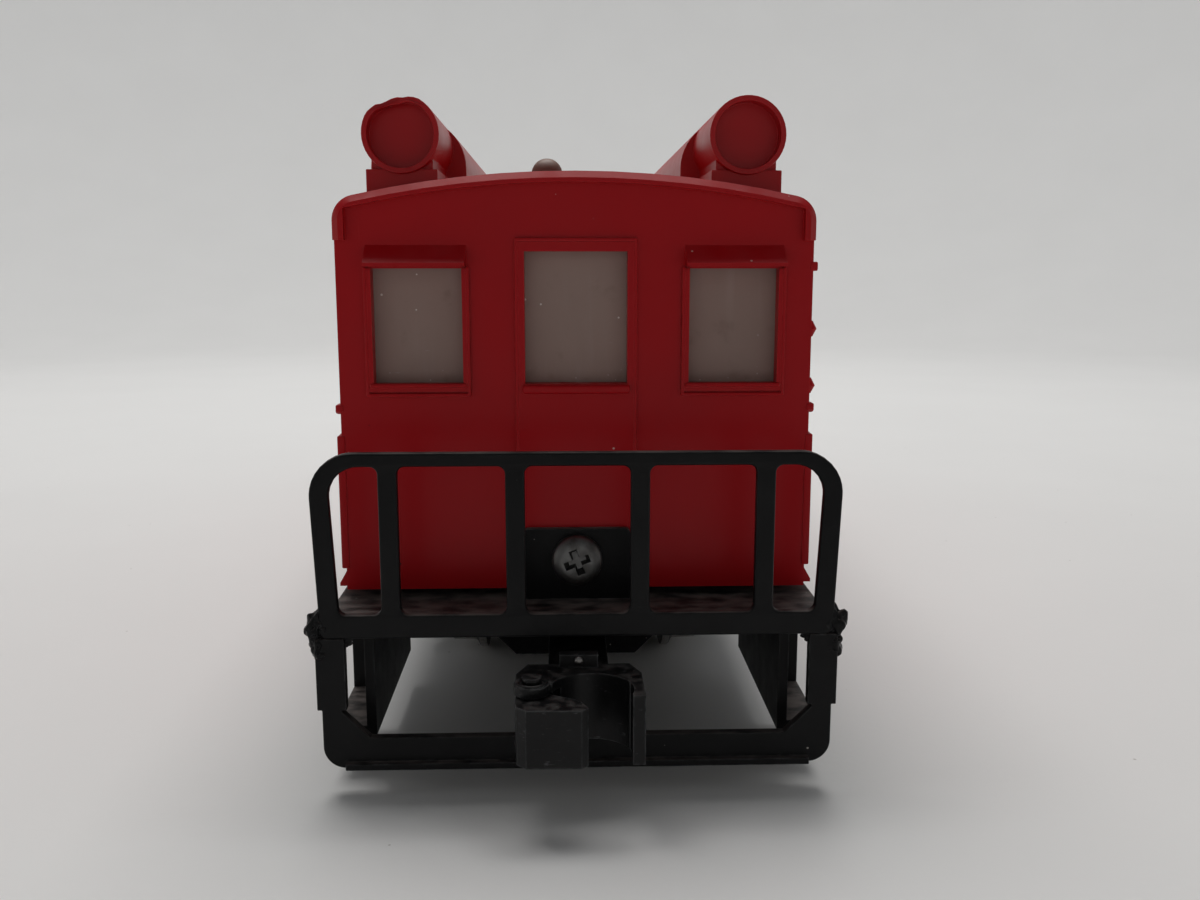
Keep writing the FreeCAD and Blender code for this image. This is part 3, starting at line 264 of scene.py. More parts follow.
def joined(shapes):
    """Several meshes in one, each left as it is."""
    whole = bmesh.new()
    for shape in shapes:
        mesh = bpy.data.meshes.new("part")
        shape.to_mesh(mesh)
        shape.free()
        whole.from_mesh(mesh)
        bpy.data.meshes.remove(mesh)
    return whole


glue = black_paint("set_glue", dust=0.35, wear=0.6, gloss=0.3)
rail_low, rail_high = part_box("front_railing")
deck_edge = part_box("chassis_frame")[1].x / MM
rail_foot = rail_low.z / MM
for end, facing in (("front", -1), ("rear", 1)):
    rail_face = facing * (abs(rail_high.y) / MM + 0.3)
    beads = []
    for side in (-1, 1):
        edge = side * (deck_edge + 0.5)
        beads += [lump((edge, rail_face, rail_foot + 1.3), (1.3, 1.2, 1.9), side + facing * 2),
                  lump((edge - side * 0.2, rail_face, rail_foot - 1.3), (1.1, 1.1, 1.4),
                       side * 3 + facing),
                  lump((edge - side * 2.3, rail_face, rail_foot - 0.4), (1.6, 0.8, 0.9),
                       side * 5 + facing)]
    add(f"{end}_glue_beads", joined(beads), "locomotive", glue)


# ---------------------------------------------------------------------------- trucks
# Each truck is a folded steel channel inside a black die-cast ring that carries the side
# frames, with coil springs and journal boxes cast and riveted on. The front one carries the
# sprung collector roller.


def black_casting(name, dust=0.4, wear=0.9):
    """Blackened die-cast metal: grainy, with bright grey corners and pale specks."""
    metal = Finish(name)
    colour = metal.mix(metal.grain(2.6, 5.0), (0.007, 0.007, 0.008), (0.024, 0.024, 0.026))
    worn = metal.rubbed(0.25) * metal.rise(metal.grain(0.9, 4.0), 0.35, 0.6) * wear
    colour = metal.mix(worn, colour, (0.16, 0.16, 0.165))
    settled = metal.upward() * metal.rise(metal.grain(1.4, 5.0), 0.4, 0.7) * dust
    colour = metal.mix(settled, colour, (0.10, 0.093, 0.088))
    colour = metal.mix(metal.flecks(1.1, 0.10, 0.1), colour, (0.30, 0.29, 0.28))
    roughness = metal.grain(1.6, 4.0) * 0.25 + 0.27 + settled * 0.3 - worn * 0.05
    relief = metal.grain(0.3, 4.0) + metal.grain(1.5, 2.0) * 0.8
    return metal.made(colour, roughness, relief, 0.03, **{"Specular IOR Level": 0.2})


class Pattern(Wiring):
    """A geometry node tree with named inputs; wires holds them for its other nodes."""

    def __init__(self, name, inputs):
        super().__init__(bpy.data.node_groups.new(name, "GeometryNodeTree"))
        for label, kind in inputs:
            self.tree.interface.new_socket(label, in_out="INPUT",
                                           socket_type="NodeSocket" + kind)
        self.tree.interface.new_socket("Result", in_out="OUTPUT",
                                       socket_type="NodeSocketGeometry")
        given = self.tree.nodes.new("NodeGroupInput").outputs
        self.wires = {label: Wire(self, given[label]) for label, kind in inputs}

    def finished(self, shape):
        """Make copies real, paint them and send them out."""
        real = self.node("GeometryNodeRealizeInstances", {}, {"Geometry": shape})
        painted = self.node("GeometryNodeSetMaterial", {}, {
            "Geometry": real, "Material": self.wires["Finish"]})
        self.node("NodeGroupOutput", {}, {"Result": painted})

    def grown(self, name, start, given):
        """What the tree makes of a mesh, as a plain mesh; given holds its inputs."""
        holder = bpy.data.objects.new(name, start)
        bpy.context.scene.collection.objects.link(holder)
        made = holder.modifiers.new("pattern", "NODES")
        made.node_group = self.tree
        for item in self.tree.interface.items_tree:
            if item.name in given:
                made[item.identifier] = given[item.name]
        settle(holder)
        mesh = holder.data
        bpy.data.objects.remove(holder)
        return mesh


def rivet_pattern():
    """A tree that sets a small shape on each point of a mesh, turned to its facing."""
    tree = Pattern("repeat_on_points", (
        ("Points", "Geometry"), ("Shape", "Object"), ("Size", "Float"),
        ("Unevenness", "Float"), ("Seed", "Int"), ("Finish", "Material")))
    wires = tree.wires
    shape = tree.node("GeometryNodeObjectInfo", {}, {"Object": wires["Shape"]}, out="Geometry")
    facing = tree.node("GeometryNodeInputNamedAttribute", {"data_type": "FLOAT_VECTOR"},
                       {"Name": "facing"})
    turn = tree.node("FunctionNodeAlignRotationToVector", {"axis": "Z"}, {"Vector": facing})
    size = tree.node("FunctionNodeRandomValue", {"data_type": "FLOAT"}, {
        2: wires["Size"] * (1 - wires["Unevenness"]),
        3: wires["Size"] * (1 + wires["Unevenness"]), "Seed": wires["Seed"]}, out=1)
    copies = tree.node("GeometryNodeInstanceOnPoints", {}, {
        "Points": wires["Points"], "Instance": shape, "Rotation": turn, "Scale": size})
    tree.finished(copies)
    return tree


repeat = rivet_pattern()


def repeated(name, places, shape, size, finish, uneven=0.06, seed=3):
    """A mesh with a copy of a small shape at each (place, facing), in millimetres."""
    points = bpy.data.meshes.new(name)
    points.from_pydata([[value * MM for value in place] for place, facing in places], [], [])
    facing = points.attributes.new("facing", "FLOAT_VECTOR", "POINT")
    facing.data.foreach_set("vector", [value for place, turn in places for value in turn])
    shape_mesh = bpy.data.meshes.new(name + "_shape")
    shape.to_mesh(shape_mesh)
    shape.free()
    for face in shape_mesh.polygons:
        face.use_smooth = True
    pattern_shape = bpy.data.objects.new(name + "_shape", shape_mesh)
    mesh = repeat.grown(name, points, {
        "Shape": pattern_shape, "Size": size * MM, "Unevenness": uneven, "Seed": seed,
        "Finish": finish})
    bpy.data.objects.remove(pattern_shape)
    return mesh


def dome(height=0.6):
    """A rivet head of radius 1, whose foot is sunk in the plate."""
    shape = bmesh.new()
    bmesh.ops.create_uvsphere(shape, u_segments=12, v_segments=8, radius=1.0)
    bmesh.ops.scale(shape, verts=shape.verts, vec=(1.0, 1.0, height))
    return shape


def bolt():
    """A hexagon bolt head on its washer, of radius 1 across the corners."""
    shape = bmesh.new()
    for sides, radius, low, high in ((16, 1.25, -0.3, 0.25), (6, 1.0, 0.0, 0.95)):
        made = bmesh.ops.create_cone(shape, cap_ends=True, segments=sides, radius1=radius,
                                     radius2=radius * 0.97, depth=high - low)
        bmesh.ops.translate(shape, verts=made["verts"], vec=(0.0, 0.0, (low + high) / 2))
    edges = [edge for edge in shape.edges if edge.calc_face_angle(0.0) > 0.6]
    bmesh.ops.bevel(shape, geom=edges, offset=0.08, segments=1, affect="EDGES")
    return shape


def block(low, high, soft, rings=2):
    """A box with rounded edges, given by two corners in millimetres."""
    shape = bmesh.new()
    bmesh.ops.create_cube(shape, size=1.0)
    size = Vector(high) - Vector(low)
    middle = (Vector(high) + Vector(low)) / 2
    for vertex in shape.verts:
        vertex.co = Vector(vertex.co[i] * size[i] + middle[i] for i in range(3)) * MM
    bmesh.ops.bevel(shape, geom=shape.edges[:], offset=soft * MM, segments=rings,
                    profile=0.5, affect="EDGES", clamp_overlap=True)
    return shape


def lathe(profile, axis, centre, steps=48):
    """A closed turned shape: profile is (radius, place along the axis), in millimetres."""
    turn = {"x": Matrix.Rotation(math.radians(90.0), 4, "Y"), "y": Matrix.Rotation(
        math.radians(-90.0), 4, "X"), "z": Matrix.Identity(4)}[axis]
    shape = bmesh.new()
    rings = []
    for radius, along in profile:
        if radius == 0.0:
            rings.append([shape.verts.new((0.0, 0.0, along))])
            continue
        angles = [math.tau * step / steps for step in range(steps)]
        rings.append([shape.verts.new((radius * math.cos(a), radius * math.sin(a), along))
                      for a in angles])
    closed = rings if profile[0][0] == 0.0 else rings + rings[:1]
    for near, far in zip(closed, closed[1:]):
        for step in range(steps):
            after = (step + 1) % steps
            corners = [near[step % len(near)], near[after % len(near)],
                       far[after % len(far)], far[step % len(far)]]
            shape.faces.new(list(dict.fromkeys(corners)))
    bmesh.ops.recalc_face_normals(shape, faces=shape.faces)
    bmesh.ops.transform(shape, matrix=turn, verts=shape.verts)
    for vertex in shape.verts:
        vertex.co = (vertex.co + Vector(centre)) * MM
    return shape


def spring_pattern():
    """A tree that winds a round wire into a helix along Z, with closed ends."""
    tree = Pattern("wound_spring", (
        ("Start", "Geometry"), ("Turns", "Float"), ("Radius", "Float"), ("Height", "Float"),
        ("Wire", "Float"), ("Finish", "Material")))
    wires = tree.wires
    helix = tree.node("GeometryNodeCurveSpiral", {}, {
        "Resolution": 20, "Rotations": wires["Turns"], "Start Radius": wires["Radius"],
        "End Radius": wires["Radius"], "Height": wires["Height"]})
    section = tree.node("GeometryNodeCurvePrimitiveCircle", {"mode": "RADIUS"}, {
        "Resolution": 8, "Radius": wires["Wire"]})
    tube = tree.node("GeometryNodeCurveToMesh", {}, {
        "Curve": helix, "Profile Curve": section, "Fill Caps": True})
    tree.finished(tube)
    return tree


coil = spring_pattern()


def spring(place, turns, radius, height, wire, finish):
    """A coil spring on its foot, in millimetres."""
    shape = bmesh.new()
    shape.from_mesh(coil.grown("spring", bpy.data.meshes.new("spring"), {
        "Turns": turns, "Radius": radius * MM, "Height": height * MM, "Wire": wire * MM,
        "Finish": finish}))
    bmesh.ops.remove_doubles(shape, verts=shape.verts, dist=0.001 * MM)
    bmesh.ops.recalc_face_normals(shape, faces=shape.faces)
    bmesh.ops.translate(shape, verts=shape.verts, vec=Vector(place) * MM)
    return shape


def keep(node, finish):
    """Leave a CAD node as it is, and give it its finish."""
    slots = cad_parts[node].data.materials
    slots.clear()
    slots.append(finish)


truck_paint = black_paint("truck_frame_paint", dust=0.5, wear=0.7)
cast_black = black_casting("blackened_casting")
SPRING_RADIUS, SPRING_WIRE, SPRING_TURNS, SPRING_HEIGHT = 1.45, 0.42, 4.5, 6.4
SPRING_SPREAD, BOLT_SPREAD = 3.9, 1.7
LID_ROUND, LID_THICK, LID_REACH = 2.9, 0.8, 1.0
PLANK_HALF, ARCH_HALF, POST_HALF = 7.2, 6.4, 1.1
PLANK_HEIGHTS, ARCH_HEIGHTS, POST_HEIGHTS = (4.6, 6.3), (12.2, 14.0), (5.6, 13.0)
lid = [(0.0, 0.0), (LID_ROUND - 0.3, 0.0), (LID_ROUND, 0.25), (LID_ROUND, LID_THICK - 0.3),
       (LID_ROUND - 0.35, LID_THICK), (1.1, LID_THICK), (0.9, LID_THICK - 0.15),
       (0.0, LID_THICK - 0.15)]
wheel_gap = (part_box("axle_2")[0].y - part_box("axle_1")[0].y) / MM
axle_line = (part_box("axle_1")[0].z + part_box("axle_1")[1].z) / 2 / MM
for end in ("front", "rear"):
    add(f"{end}_truck_channel", eased(f"{end}_truck_frame", 0.2), f"{end}_truck", truck_paint,
        [f"{end}_truck_frame"])
    ring_low, ring_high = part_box(f"{end}_side_frames")
    middle = (ring_low.y + ring_high.y) / 2 / MM
    face = ring_high.x / MM - 1.15
    parts = [eased(f"{end}_side_frames", 0.3)]
    heads = []
    for side in (-1, 1):
        outer = side * face
        facing = (side, 0.0, 0.0)
        near, far = sorted((outer - side * 0.6, outer + side * 0.85))
        for half, (low, high) in ((PLANK_HALF, PLANK_HEIGHTS), (ARCH_HALF, ARCH_HEIGHTS),
                                  (POST_HALF, POST_HEIGHTS)):
            parts.append(block((near, middle - half, low), (far, middle + half, high), 0.3))
        for shift in (-SPRING_SPREAD, SPRING_SPREAD):
            foot = (outer - side * 0.35, middle + shift, 6.1)
            parts.append(spring(foot, SPRING_TURNS, SPRING_RADIUS, SPRING_HEIGHT, SPRING_WIRE,
                                cast_black))
            heads.append(((outer + side * 0.8, middle + shift, 5.45), facing))
        for shift in (-wheel_gap / 2, wheel_gap / 2):
            turned = [(radius, outer + side * (LID_REACH + out)) for radius, out in lid][::side]
            parts.append(lathe(turned, "x", (0.0, middle + shift, axle_line), 28))
            for rise in (-BOLT_SPREAD, BOLT_SPREAD):
                for along in (-BOLT_SPREAD, BOLT_SPREAD):
                    heads.append(((outer + side * (LID_THICK + 0.95), middle + shift + along,
                                   axle_line + rise), facing))
        for shift in (-22.5, -18.0, 18.0, 22.5):
            heads.append(((outer + side * 0.1, middle + shift, 12.6), facing))
    add(f"{end}_side_frame_casting", joined(parts), f"{end}_truck", cast_black,
        [f"{end}_side_frames"])
    add(f"{end}_truck_rivets", repeated(f"{end}_truck_rivets", heads, dome(), 0.42, cast_black),
        f"{end}_truck", cast_black)


# Wheels are turned from cast iron: bright rolling treads, black chemical finish on the dished
# faces, and oily dirt in the corners. They are pressed on plain steel axles.

def turned_metal(name, colour, dark, ring=0.45, gloss=0.32, oil=0.5):
    """Bare metal with the fine rings of a lathe tool about X, and oily dirt."""
    metal = Finish(name)
    tool = metal.grain(ring, 2.0, metal.stretched((1.0, 0.05, 0.05)))
    stain = metal.rise(metal.grain(2.4, 5.0), 0.42, 0.72) * oil
    shade = metal.mix(metal.grain(4.0, 3.0), colour, [value * 0.8 for value in colour])
    shade = metal.mix(stain, shade, dark)
    worn = metal.rubbed(0.2)
    shade = metal.mix(worn * 0.4, shade, [min(1.0, value * 1.3) for value in colour])
    roughness = tool * 0.15 + (gloss - 0.05) + stain * 0.25
    return metal.made(shade, roughness, tool, 0.012, Metallic=1.0)


def wheel_iron():
    """One finish for the whole wheel: bright where it rolls, black in the dish."""
    metal = Finish("wheel_iron")
    rolling = metal.rise(metal.unsigned(metal.axis("X", metal.facing)), 0.75, 0.35)
    patch = metal.grain(1.8, 5.0)
    dark = metal.mix(patch, (0.016, 0.016, 0.017), (0.045, 0.042, 0.04))
    bright = metal.mix(metal.grain(0.8, 4.0, metal.stretched((4.0, 0.4, 0.4))),
                       (0.34, 0.33, 0.32), (0.50, 0.49, 0.48))
    dirt = metal.rise(metal.grain(1.1, 5.0), 0.5, 0.75) * 0.6
    bright = metal.mix(dirt, bright, (0.05, 0.04, 0.03))
    colour = metal.mix(rolling, dark, bright)
    colour = metal.mix(metal.rubbed(0.2) * 0.6, colour, (0.28, 0.28, 0.28))
    roughness = patch * 0.2 + 0.42 - rolling * 0.12
    return metal.made(colour, roughness, metal.grain(0.35, 3.0), 0.02, Metallic=rolling * 0.9)


tread_iron = wheel_iron()
axle_steel = turned_metal("axle_steel", (0.42, 0.41, 0.40), (0.06, 0.045, 0.03))
for number in (1, 2, 3, 4):
    add(f"wheel_pair_{number}", eased(f"wheels_{number}", 0.18), f"wheelset_{number}",
        tread_iron, [f"wheels_{number}"])
    add(f"axle_shaft_{number}", eased(f"axle_{number}", 0.25), f"wheelset_{number}",
        axle_steel, [f"axle_{number}"])


# The collector picks up current from the middle rail: a turned roller on a pin between the
# ears of a stamped arm, pressed down by a small coil spring under the truck.

spring_steel = turned_metal("blued_spring_steel", (0.24, 0.25, 0.29), (0.05, 0.04, 0.035))
stamped_steel = turned_metal("stamped_steel", (0.36, 0.35, 0.34), (0.05, 0.04, 0.03), oil=0.8)
roller_steel = turned_metal("roller_steel", (0.55, 0.54, 0.53), (0.08, 0.06, 0.04), gloss=0.24)
add("collector_ears", eased("collector_arm", 0.18), "collector_arm", stamped_steel,
    ["collector_arm"])
roller_low, roller_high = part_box("collector_roller")
half = roller_high.x / MM
radius = (roller_high.z - roller_low.z) / 2 / MM
bore = (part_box("roller_pin")[1].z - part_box("roller_pin")[0].z) / 2 / MM + 0.05
groove = [(radius - 0.25, -0.5), (radius - 0.3, 0.0), (radius - 0.25, 0.5)]
roller_profile = ([(bore, -half), (radius - 0.7, -half), (radius - 0.35, -half + 0.15),
                   (radius - 0.05, -half + 0.7), (radius, -half + 1.4), (radius, -1.0)]
                  + groove + [(radius, 1.0), (radius, half - 1.4), (radius - 0.05, half - 0.7),
                              (radius - 0.35, half - 0.15), (radius - 0.7, half), (bore, half)])
roller_centre = (0.0, (roller_low.y + roller_high.y) / 2 / MM,
                 (roller_low.z + roller_high.z) / 2 / MM)
add("collector_roller_turned", lathe(roller_profile, "x", roller_centre, 40),
    "collector_roller", roller_steel, ["collector_roller"])
add("roller_pin_turned", eased("roller_pin", 0.2), "collector_arm", roller_steel,
    ["roller_pin"])
add("collector_pivot_turned", eased("collector_pivot", 0.2), "front_truck", roller_steel,
    ["collector_pivot"])
seat_low, seat_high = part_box("collector_spring")
SPRING_GAUGE = 0.26
seat = ((seat_low + seat_high) / 2 / MM).to_tuple()
coil_radius = (seat_high.x - seat_low.x) / 2 / MM - SPRING_GAUGE
coil_height = (seat_high.z - seat_low.z) / MM - 2 * SPRING_GAUGE
coil_foot = (seat[0], seat[1], seat_low.z / MM + SPRING_GAUGE)
pressing = add("collector_coil", spring(coil_foot, 4.5, coil_radius, coil_height, SPRING_GAUGE,
                                        spring_steel),
               "front_truck", spring_steel, ["collector_spring"])
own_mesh(pressing)
for node, body in (("front_kingpin", "locomotive"), ("motor_stud", "rear_truck"),
                   ("idler_stud", "rear_truck")):
    add(f"{node}_turned", eased(node, 0.15), body, axle_steel, [node])


# ------------------------------------------------------------------- motor and gears
# The open-frame motor sits in the rear truck: a riveted stack of soft iron plates with a
# varnished copper coil on top, and a three-pole armature whose pinion drives the gear train.

def stacked_plates():
    """Punched iron plates seen edge on, with rust freckles and oil between them."""
    iron = Finish("iron_laminations")
    seam = iron.node("ShaderNodeTexWave", {"bands_direction": "X"}, {
        "Vector": iron.place, "Scale": 0.33 / (0.5 * MM), "Distortion": 0.4, "Detail": 1.0},
        out="Fac")
    edge = iron.rise(seam, 0.1, 0.4)
    flat = iron.rise(iron.unsigned(iron.axis("X", iron.facing)), 0.5, 0.8)
    colour = iron.mix(edge, (0.03, 0.026, 0.024), (0.26, 0.25, 0.24))
    face = iron.mix(iron.grain(5.0, 5.0), (0.16, 0.155, 0.15), (0.26, 0.25, 0.24))
    colour = iron.mix(flat, colour, face)
    rust = iron.rise(iron.grain(1.6, 6.0), 0.6, 0.75) * 0.7
    colour = iron.mix(rust, colour, (0.16, 0.06, 0.025))
    return iron.made(colour, rust * 0.3 + 0.4, edge, 0.05, Metallic=0.85)


def copper_wire():
    """Enamelled copper under amber varnish."""
    wire = Finish("varnished_copper")
    colour = wire.mix(wire.grain(1.0, 4.0), (0.42, 0.13, 0.045), (0.62, 0.24, 0.10))
    pooled = wire.rise(wire.grain(3.0, 4.0), 0.5, 0.75)
    colour = wire.mix(pooled, colour, (0.20, 0.06, 0.02))
    return wire.made(colour, wire.grain(0.6, 3.0) * 0.2 + 0.18, wire.grain(0.5, 3.0), 0.02,
                     Metallic=0.8)


def board(name, pale, dark):
    """Layered phenolic sheet or pressed fibre, with paler sawn edges."""
    sheet = Finish(name)
    colour = sheet.mix(sheet.grain(1.2, 6.0, sheet.stretched((1.0, 4.0, 0.6))), dark, pale)
    colour = sheet.mix(sheet.rubbed(0.3) * 0.6, colour, [value * 2.2 for value in pale])
    return sheet.made(colour, sheet.grain(2.0, 3.0) * 0.2 + 0.35, sheet.grain(0.4, 4.0), 0.02)


plates = stacked_plates()
copper = copper_wire()
phenolic = board("brown_phenolic", (0.11, 0.05, 0.02), (0.05, 0.022, 0.010))
carbon = board("pressed_carbon", (0.022, 0.022, 0.023), (0.008, 0.008, 0.009))
gear_steel = turned_metal("oiled_gear_steel", (0.33, 0.32, 0.30), (0.07, 0.05, 0.02), oil=0.7)
gear_brass = turned_metal("oiled_gear_brass", (0.62, 0.42, 0.14), (0.14, 0.08, 0.02), oil=0.6)
add("field_stack", eased("motor_field", 0.15), "rear_truck", plates,
    ["motor_field"])
add("armature_stack", eased("armature", 0.12), "armature", plates, ["armature"])
field_low, field_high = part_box("motor_field")
stack_rivets = []
for side in (-1, 1):
    for along in (field_low.y / MM + 2.6, field_high.y / MM - 2.6):
        for height in (field_low.z / MM + 1.6, field_high.z / MM - 1.6):
            stack_rivets.append(((side * field_high.x / MM, along, height), (side, 0.0, 0.0)))
add("field_rivets", repeated("field_rivets", stack_rivets, dome(), 0.7, gear_steel),
    "rear_truck", gear_steel)
coil_low, coil_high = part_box("field_coil")
COIL_WIRE, COIL_LAYERS, COIL_CORNER = 0.42, 6, 1.8


def bent_wire(route, gauge, rings, closed):
    """Round wire along a route in millimetres: a closed loop of runs, or a soft open curve."""
    line = bpy.data.curves.new("wire", "CURVE")
    line.dimensions = "3D"
    line.bevel_depth = gauge * MM
    line.bevel_resolution = rings
    line.use_fill_caps = not closed
    path = line.splines.new("POLY" if closed else "NURBS")
    path.points.add(len(route) - 1)
    for point, place in zip(path.points, route):
        point.co = (*(value * MM for value in place), 1.0)
    path.use_cyclic_u = closed
    if not closed:
        path.use_endpoint_u = True
        path.order_u = 3
    holder = bpy.data.objects.new("wire", line)
    shape = bmesh.new()
    shape.from_mesh(bpy.data.meshes.new_from_object(holder))
    bpy.data.objects.remove(holder)
    return shape


turns = []
half_x = coil_high.x / MM - COIL_WIRE
half_y = (coil_high.y - coil_low.y) / 2 / MM - COIL_WIRE
along = (coil_high.y + coil_low.y) / 2 / MM
layer_rise = ((coil_high.z - coil_low.z) / MM - 2 * COIL_WIRE) / (COIL_LAYERS - 1)
for layer in range(COIL_LAYERS):
    height = coil_low.z / MM + COIL_WIRE + layer * layer_rise
    route = []
    for quarter, (side_x, side_y) in enumerate(((1, 1), (-1, 1), (-1, -1), (1, -1))):
        for step in range(6):
            angle = math.radians(90 * quarter + 18 * step)
            route.append((side_x * (half_x - COIL_CORNER) + COIL_CORNER * math.cos(angle),
                          along + side_y * (half_y - COIL_CORNER)
                          + COIL_CORNER * math.sin(angle), height))
    turns.append(bent_wire(route, COIL_WIRE, 2, True))
turns.append(block((-coil_high.x / MM + 0.5, coil_low.y / MM + 0.5, coil_low.z / MM + 0.2),
                   (coil_high.x / MM - 0.5, coil_high.y / MM - 0.5, coil_high.z / MM - 0.2), 1.2))
add("field_winding", joined(turns), "rear_truck", copper, ["field_coil"])
add("commutator_disc", eased("commutator", 0.15), "armature", copper,
    ["commutator"])
add("brush_board", eased("brush_plate", 0.2), "rear_truck", phenolic,
    ["brush_plate"])
for node, finish in (("brushes", carbon), ("pinion", gear_steel), ("idler_gear", gear_brass),
                     ("axle_gear_3", gear_steel), ("axle_gear_4", gear_steel)):
    keep(node, finish)
add("motor_strap", eased("motor_bridge", 0.2), "locomotive", stamped_steel,
    ["motor_bridge"])
strap_low, strap_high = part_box("motor_bridge")
strap_screws = [((side * 3.2, y, strap_low.z / MM + 1.2), (0.0, 0.0, 1.0))
                for side in (-1, 1) for y in (strap_low.y / MM + 2.6, strap_high.y / MM - 2.6)]
add("strap_bolts", repeated("strap_bolts", strap_screws, bolt(), 1.1, gear_steel),
    "locomotive", gear_steel)


# -------------------------------------------------------------------------- couplers
# Blackened die-cast coupler heads swing on a rivet under the truck. Each knuckle hinges on a
# pin, and handling has rubbed the black off the corners and the ends of the jaws.

def satin_black(name):
    """Chemically blackened metal, smooth and satin, with bright worn corners."""
    metal = Finish(name)
    colour = metal.mix(metal.grain(3.2, 4.0), (0.003, 0.003, 0.0035), (0.010, 0.010, 0.0105))
    bare = metal.rubbed(0.35) * metal.rise(metal.grain(0.8, 5.0), 0.30, 0.58)
    colour = metal.mix(bare * 0.6, colour, (0.15, 0.155, 0.16))
    scuff = metal.rise(metal.grain(1.4, 6.0, metal.stretched((1.0, 1.0, 3.0))), 0.62, 0.74)
    colour = metal.mix(scuff * 0.5, colour, (0.10, 0.10, 0.105))
    settled = metal.upward() * metal.rise(metal.grain(1.2, 5.0), 0.42, 0.7)
    colour = metal.mix(settled * 0.35, colour, (0.10, 0.093, 0.088))
    roughness = metal.grain(1.1, 4.0) * 0.2 + 0.24 + settled * 0.25
    relief = metal.grain(0.25, 4.0) + metal.grain(1.2, 2.0)
    return metal.made(colour, roughness, relief, 0.02, Metallic=bare * 0.6,
                      **{"Specular IOR Level": 0.2})


def ring(centre, radius, wire, steps=36):
    """A flat round ring about Z, in millimetres."""
    section = [(radius + wire * math.cos(math.tau * step / 10),
                wire * math.sin(math.tau * step / 10)) for step in range(10)]
    return lathe(section, "z", centre, steps)


coupler_black = satin_black("blackened_coupler")
for end, facing in (("front", -1), ("rear", 1)):
    pin_low, pin_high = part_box(f"{end}_knuckle_pin")
    pin = ((pin_low + pin_high) / 2 / MM).to_tuple()
    ear_top = pin_high.z / MM - 0.8
    pad_face = facing * (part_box("chassis_frame")[1].y / MM + 3.6)
    parts = [eased(f"{end}_coupler", 0.3, rings=3),
             ring((pin[0], pin[1], ear_top), 1.55, 0.28)]
    add(f"{end}_coupler_head", joined(parts), f"{end}_coupler", coupler_black,
        [f"{end}_coupler"])
    add(f"{end}_knuckle_jaw", eased(f"{end}_knuckle", 0.3, rings=3), f"{end}_knuckle",
        coupler_black, [f"{end}_knuckle"])
    add(f"{end}_hinge_pin", eased(f"{end}_knuckle_pin", 0.2), f"{end}_coupler",
        coupler_black, [f"{end}_knuckle_pin"])
    add(f"{end}_coupler_pivot", eased(f"{end}_coupler_rivet", 0.25), f"{end}_truck",
        stamped_steel, [f"{end}_coupler_rivet"])
    pad_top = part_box(f"{end}_coupler")[1].z / MM
    head = [((0.0, pad_face, pad_top - 0.7), (0.0, float(facing), 0.0))]
    add(f"{end}_pad_rivet", repeated(f"{end}_pad_rivet", head, dome(0.8), 0.5, stamped_steel),
        f"{end}_coupler", stamped_steel)


# ---------------------------------------------------------------- inside the body
# Behind the screwed-on body sit a cast iron ballast block, the relay box with its lever, and
# the lamp in its brass socket.

def grey_iron():
    """Rough sand-cast iron with a thin coat of rust."""
    metal = Finish("cast_iron_ballast")
    colour = metal.mix(metal.grain(3.0, 6.0), (0.06, 0.06, 0.062), (0.13, 0.128, 0.125))
    rust = metal.rise(metal.grain(4.0, 6.0), 0.52, 0.7)
    colour = metal.mix(rust * 0.7, colour, (0.14, 0.055, 0.025))
    colour = metal.mix(metal.rubbed(0.3) * 0.5, colour, (0.28, 0.27, 0.26))
    relief = metal.grain(0.8, 6.0) + metal.grain(0.25, 3.0) * 0.5
    return metal.made(colour, metal.grain(1.5, 3.0) * 0.2 + 0.55, relief, 0.08, Metallic=0.5)


def thin_glass():
    """Clear blown glass, slightly grey with age."""
    glass = Finish("bulb_glass")
    haze = glass.rise(glass.grain(3.0, 4.0), 0.45, 0.75)
    colour = glass.mix(haze, (0.86, 0.87, 0.85), (0.60, 0.58, 0.54))
    return glass.made(colour, haze * 0.15 + 0.04, **{"Transmission Weight": 0.9, "IOR": 1.5})


lamp_brass = turned_metal("lamp_brass", (0.66, 0.46, 0.17), (0.20, 0.12, 0.04), gloss=0.28)
iron_block = grey_iron()
add("ballast_block", eased("ballast_weight", 0.8, rings=3), "locomotive", iron_block,
    ["ballast_weight"])
add("relay_box", eased("reversing_unit", 0.35), "locomotive", stamped_steel,
    ["reversing_unit"])
box_low, box_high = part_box("reversing_unit")
middle = (box_low + box_high) / 2 / MM
winding = []
for place in range(14):
    height = box_low.z / MM + 5.0 + place * 0.95
    winding.append(ring((middle.x, middle.y, height), box_high.x / MM - middle.x - 0.2, 0.47, 40))
add("relay_coil", joined(winding), "locomotive", copper)
add("relay_lever", eased("reversing_lever", 0.25), "reversing_lever", phenolic,
    ["reversing_lever"])
add("lamp_holder", eased("lamp_socket", 0.3), "locomotive", lamp_brass,
    ["lamp_socket"])
socket_low, socket_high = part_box("lamp_socket")
socket_middle = (socket_low.y + socket_high.y) / 2 / MM
socket_round = (socket_high.x - socket_low.x) / 2 / MM - 0.1
threads = [ring((0.0, socket_middle, socket_low.z / MM + 2.0 + step * 1.1), socket_round, 0.32,
                40) for step in range(9)]
add("lamp_threads", joined(threads), "locomotive", lamp_brass)
add("lamp_glass", eased("lamp_bulb", 0.1), "locomotive", thin_glass(),
    ["lamp_bulb"])
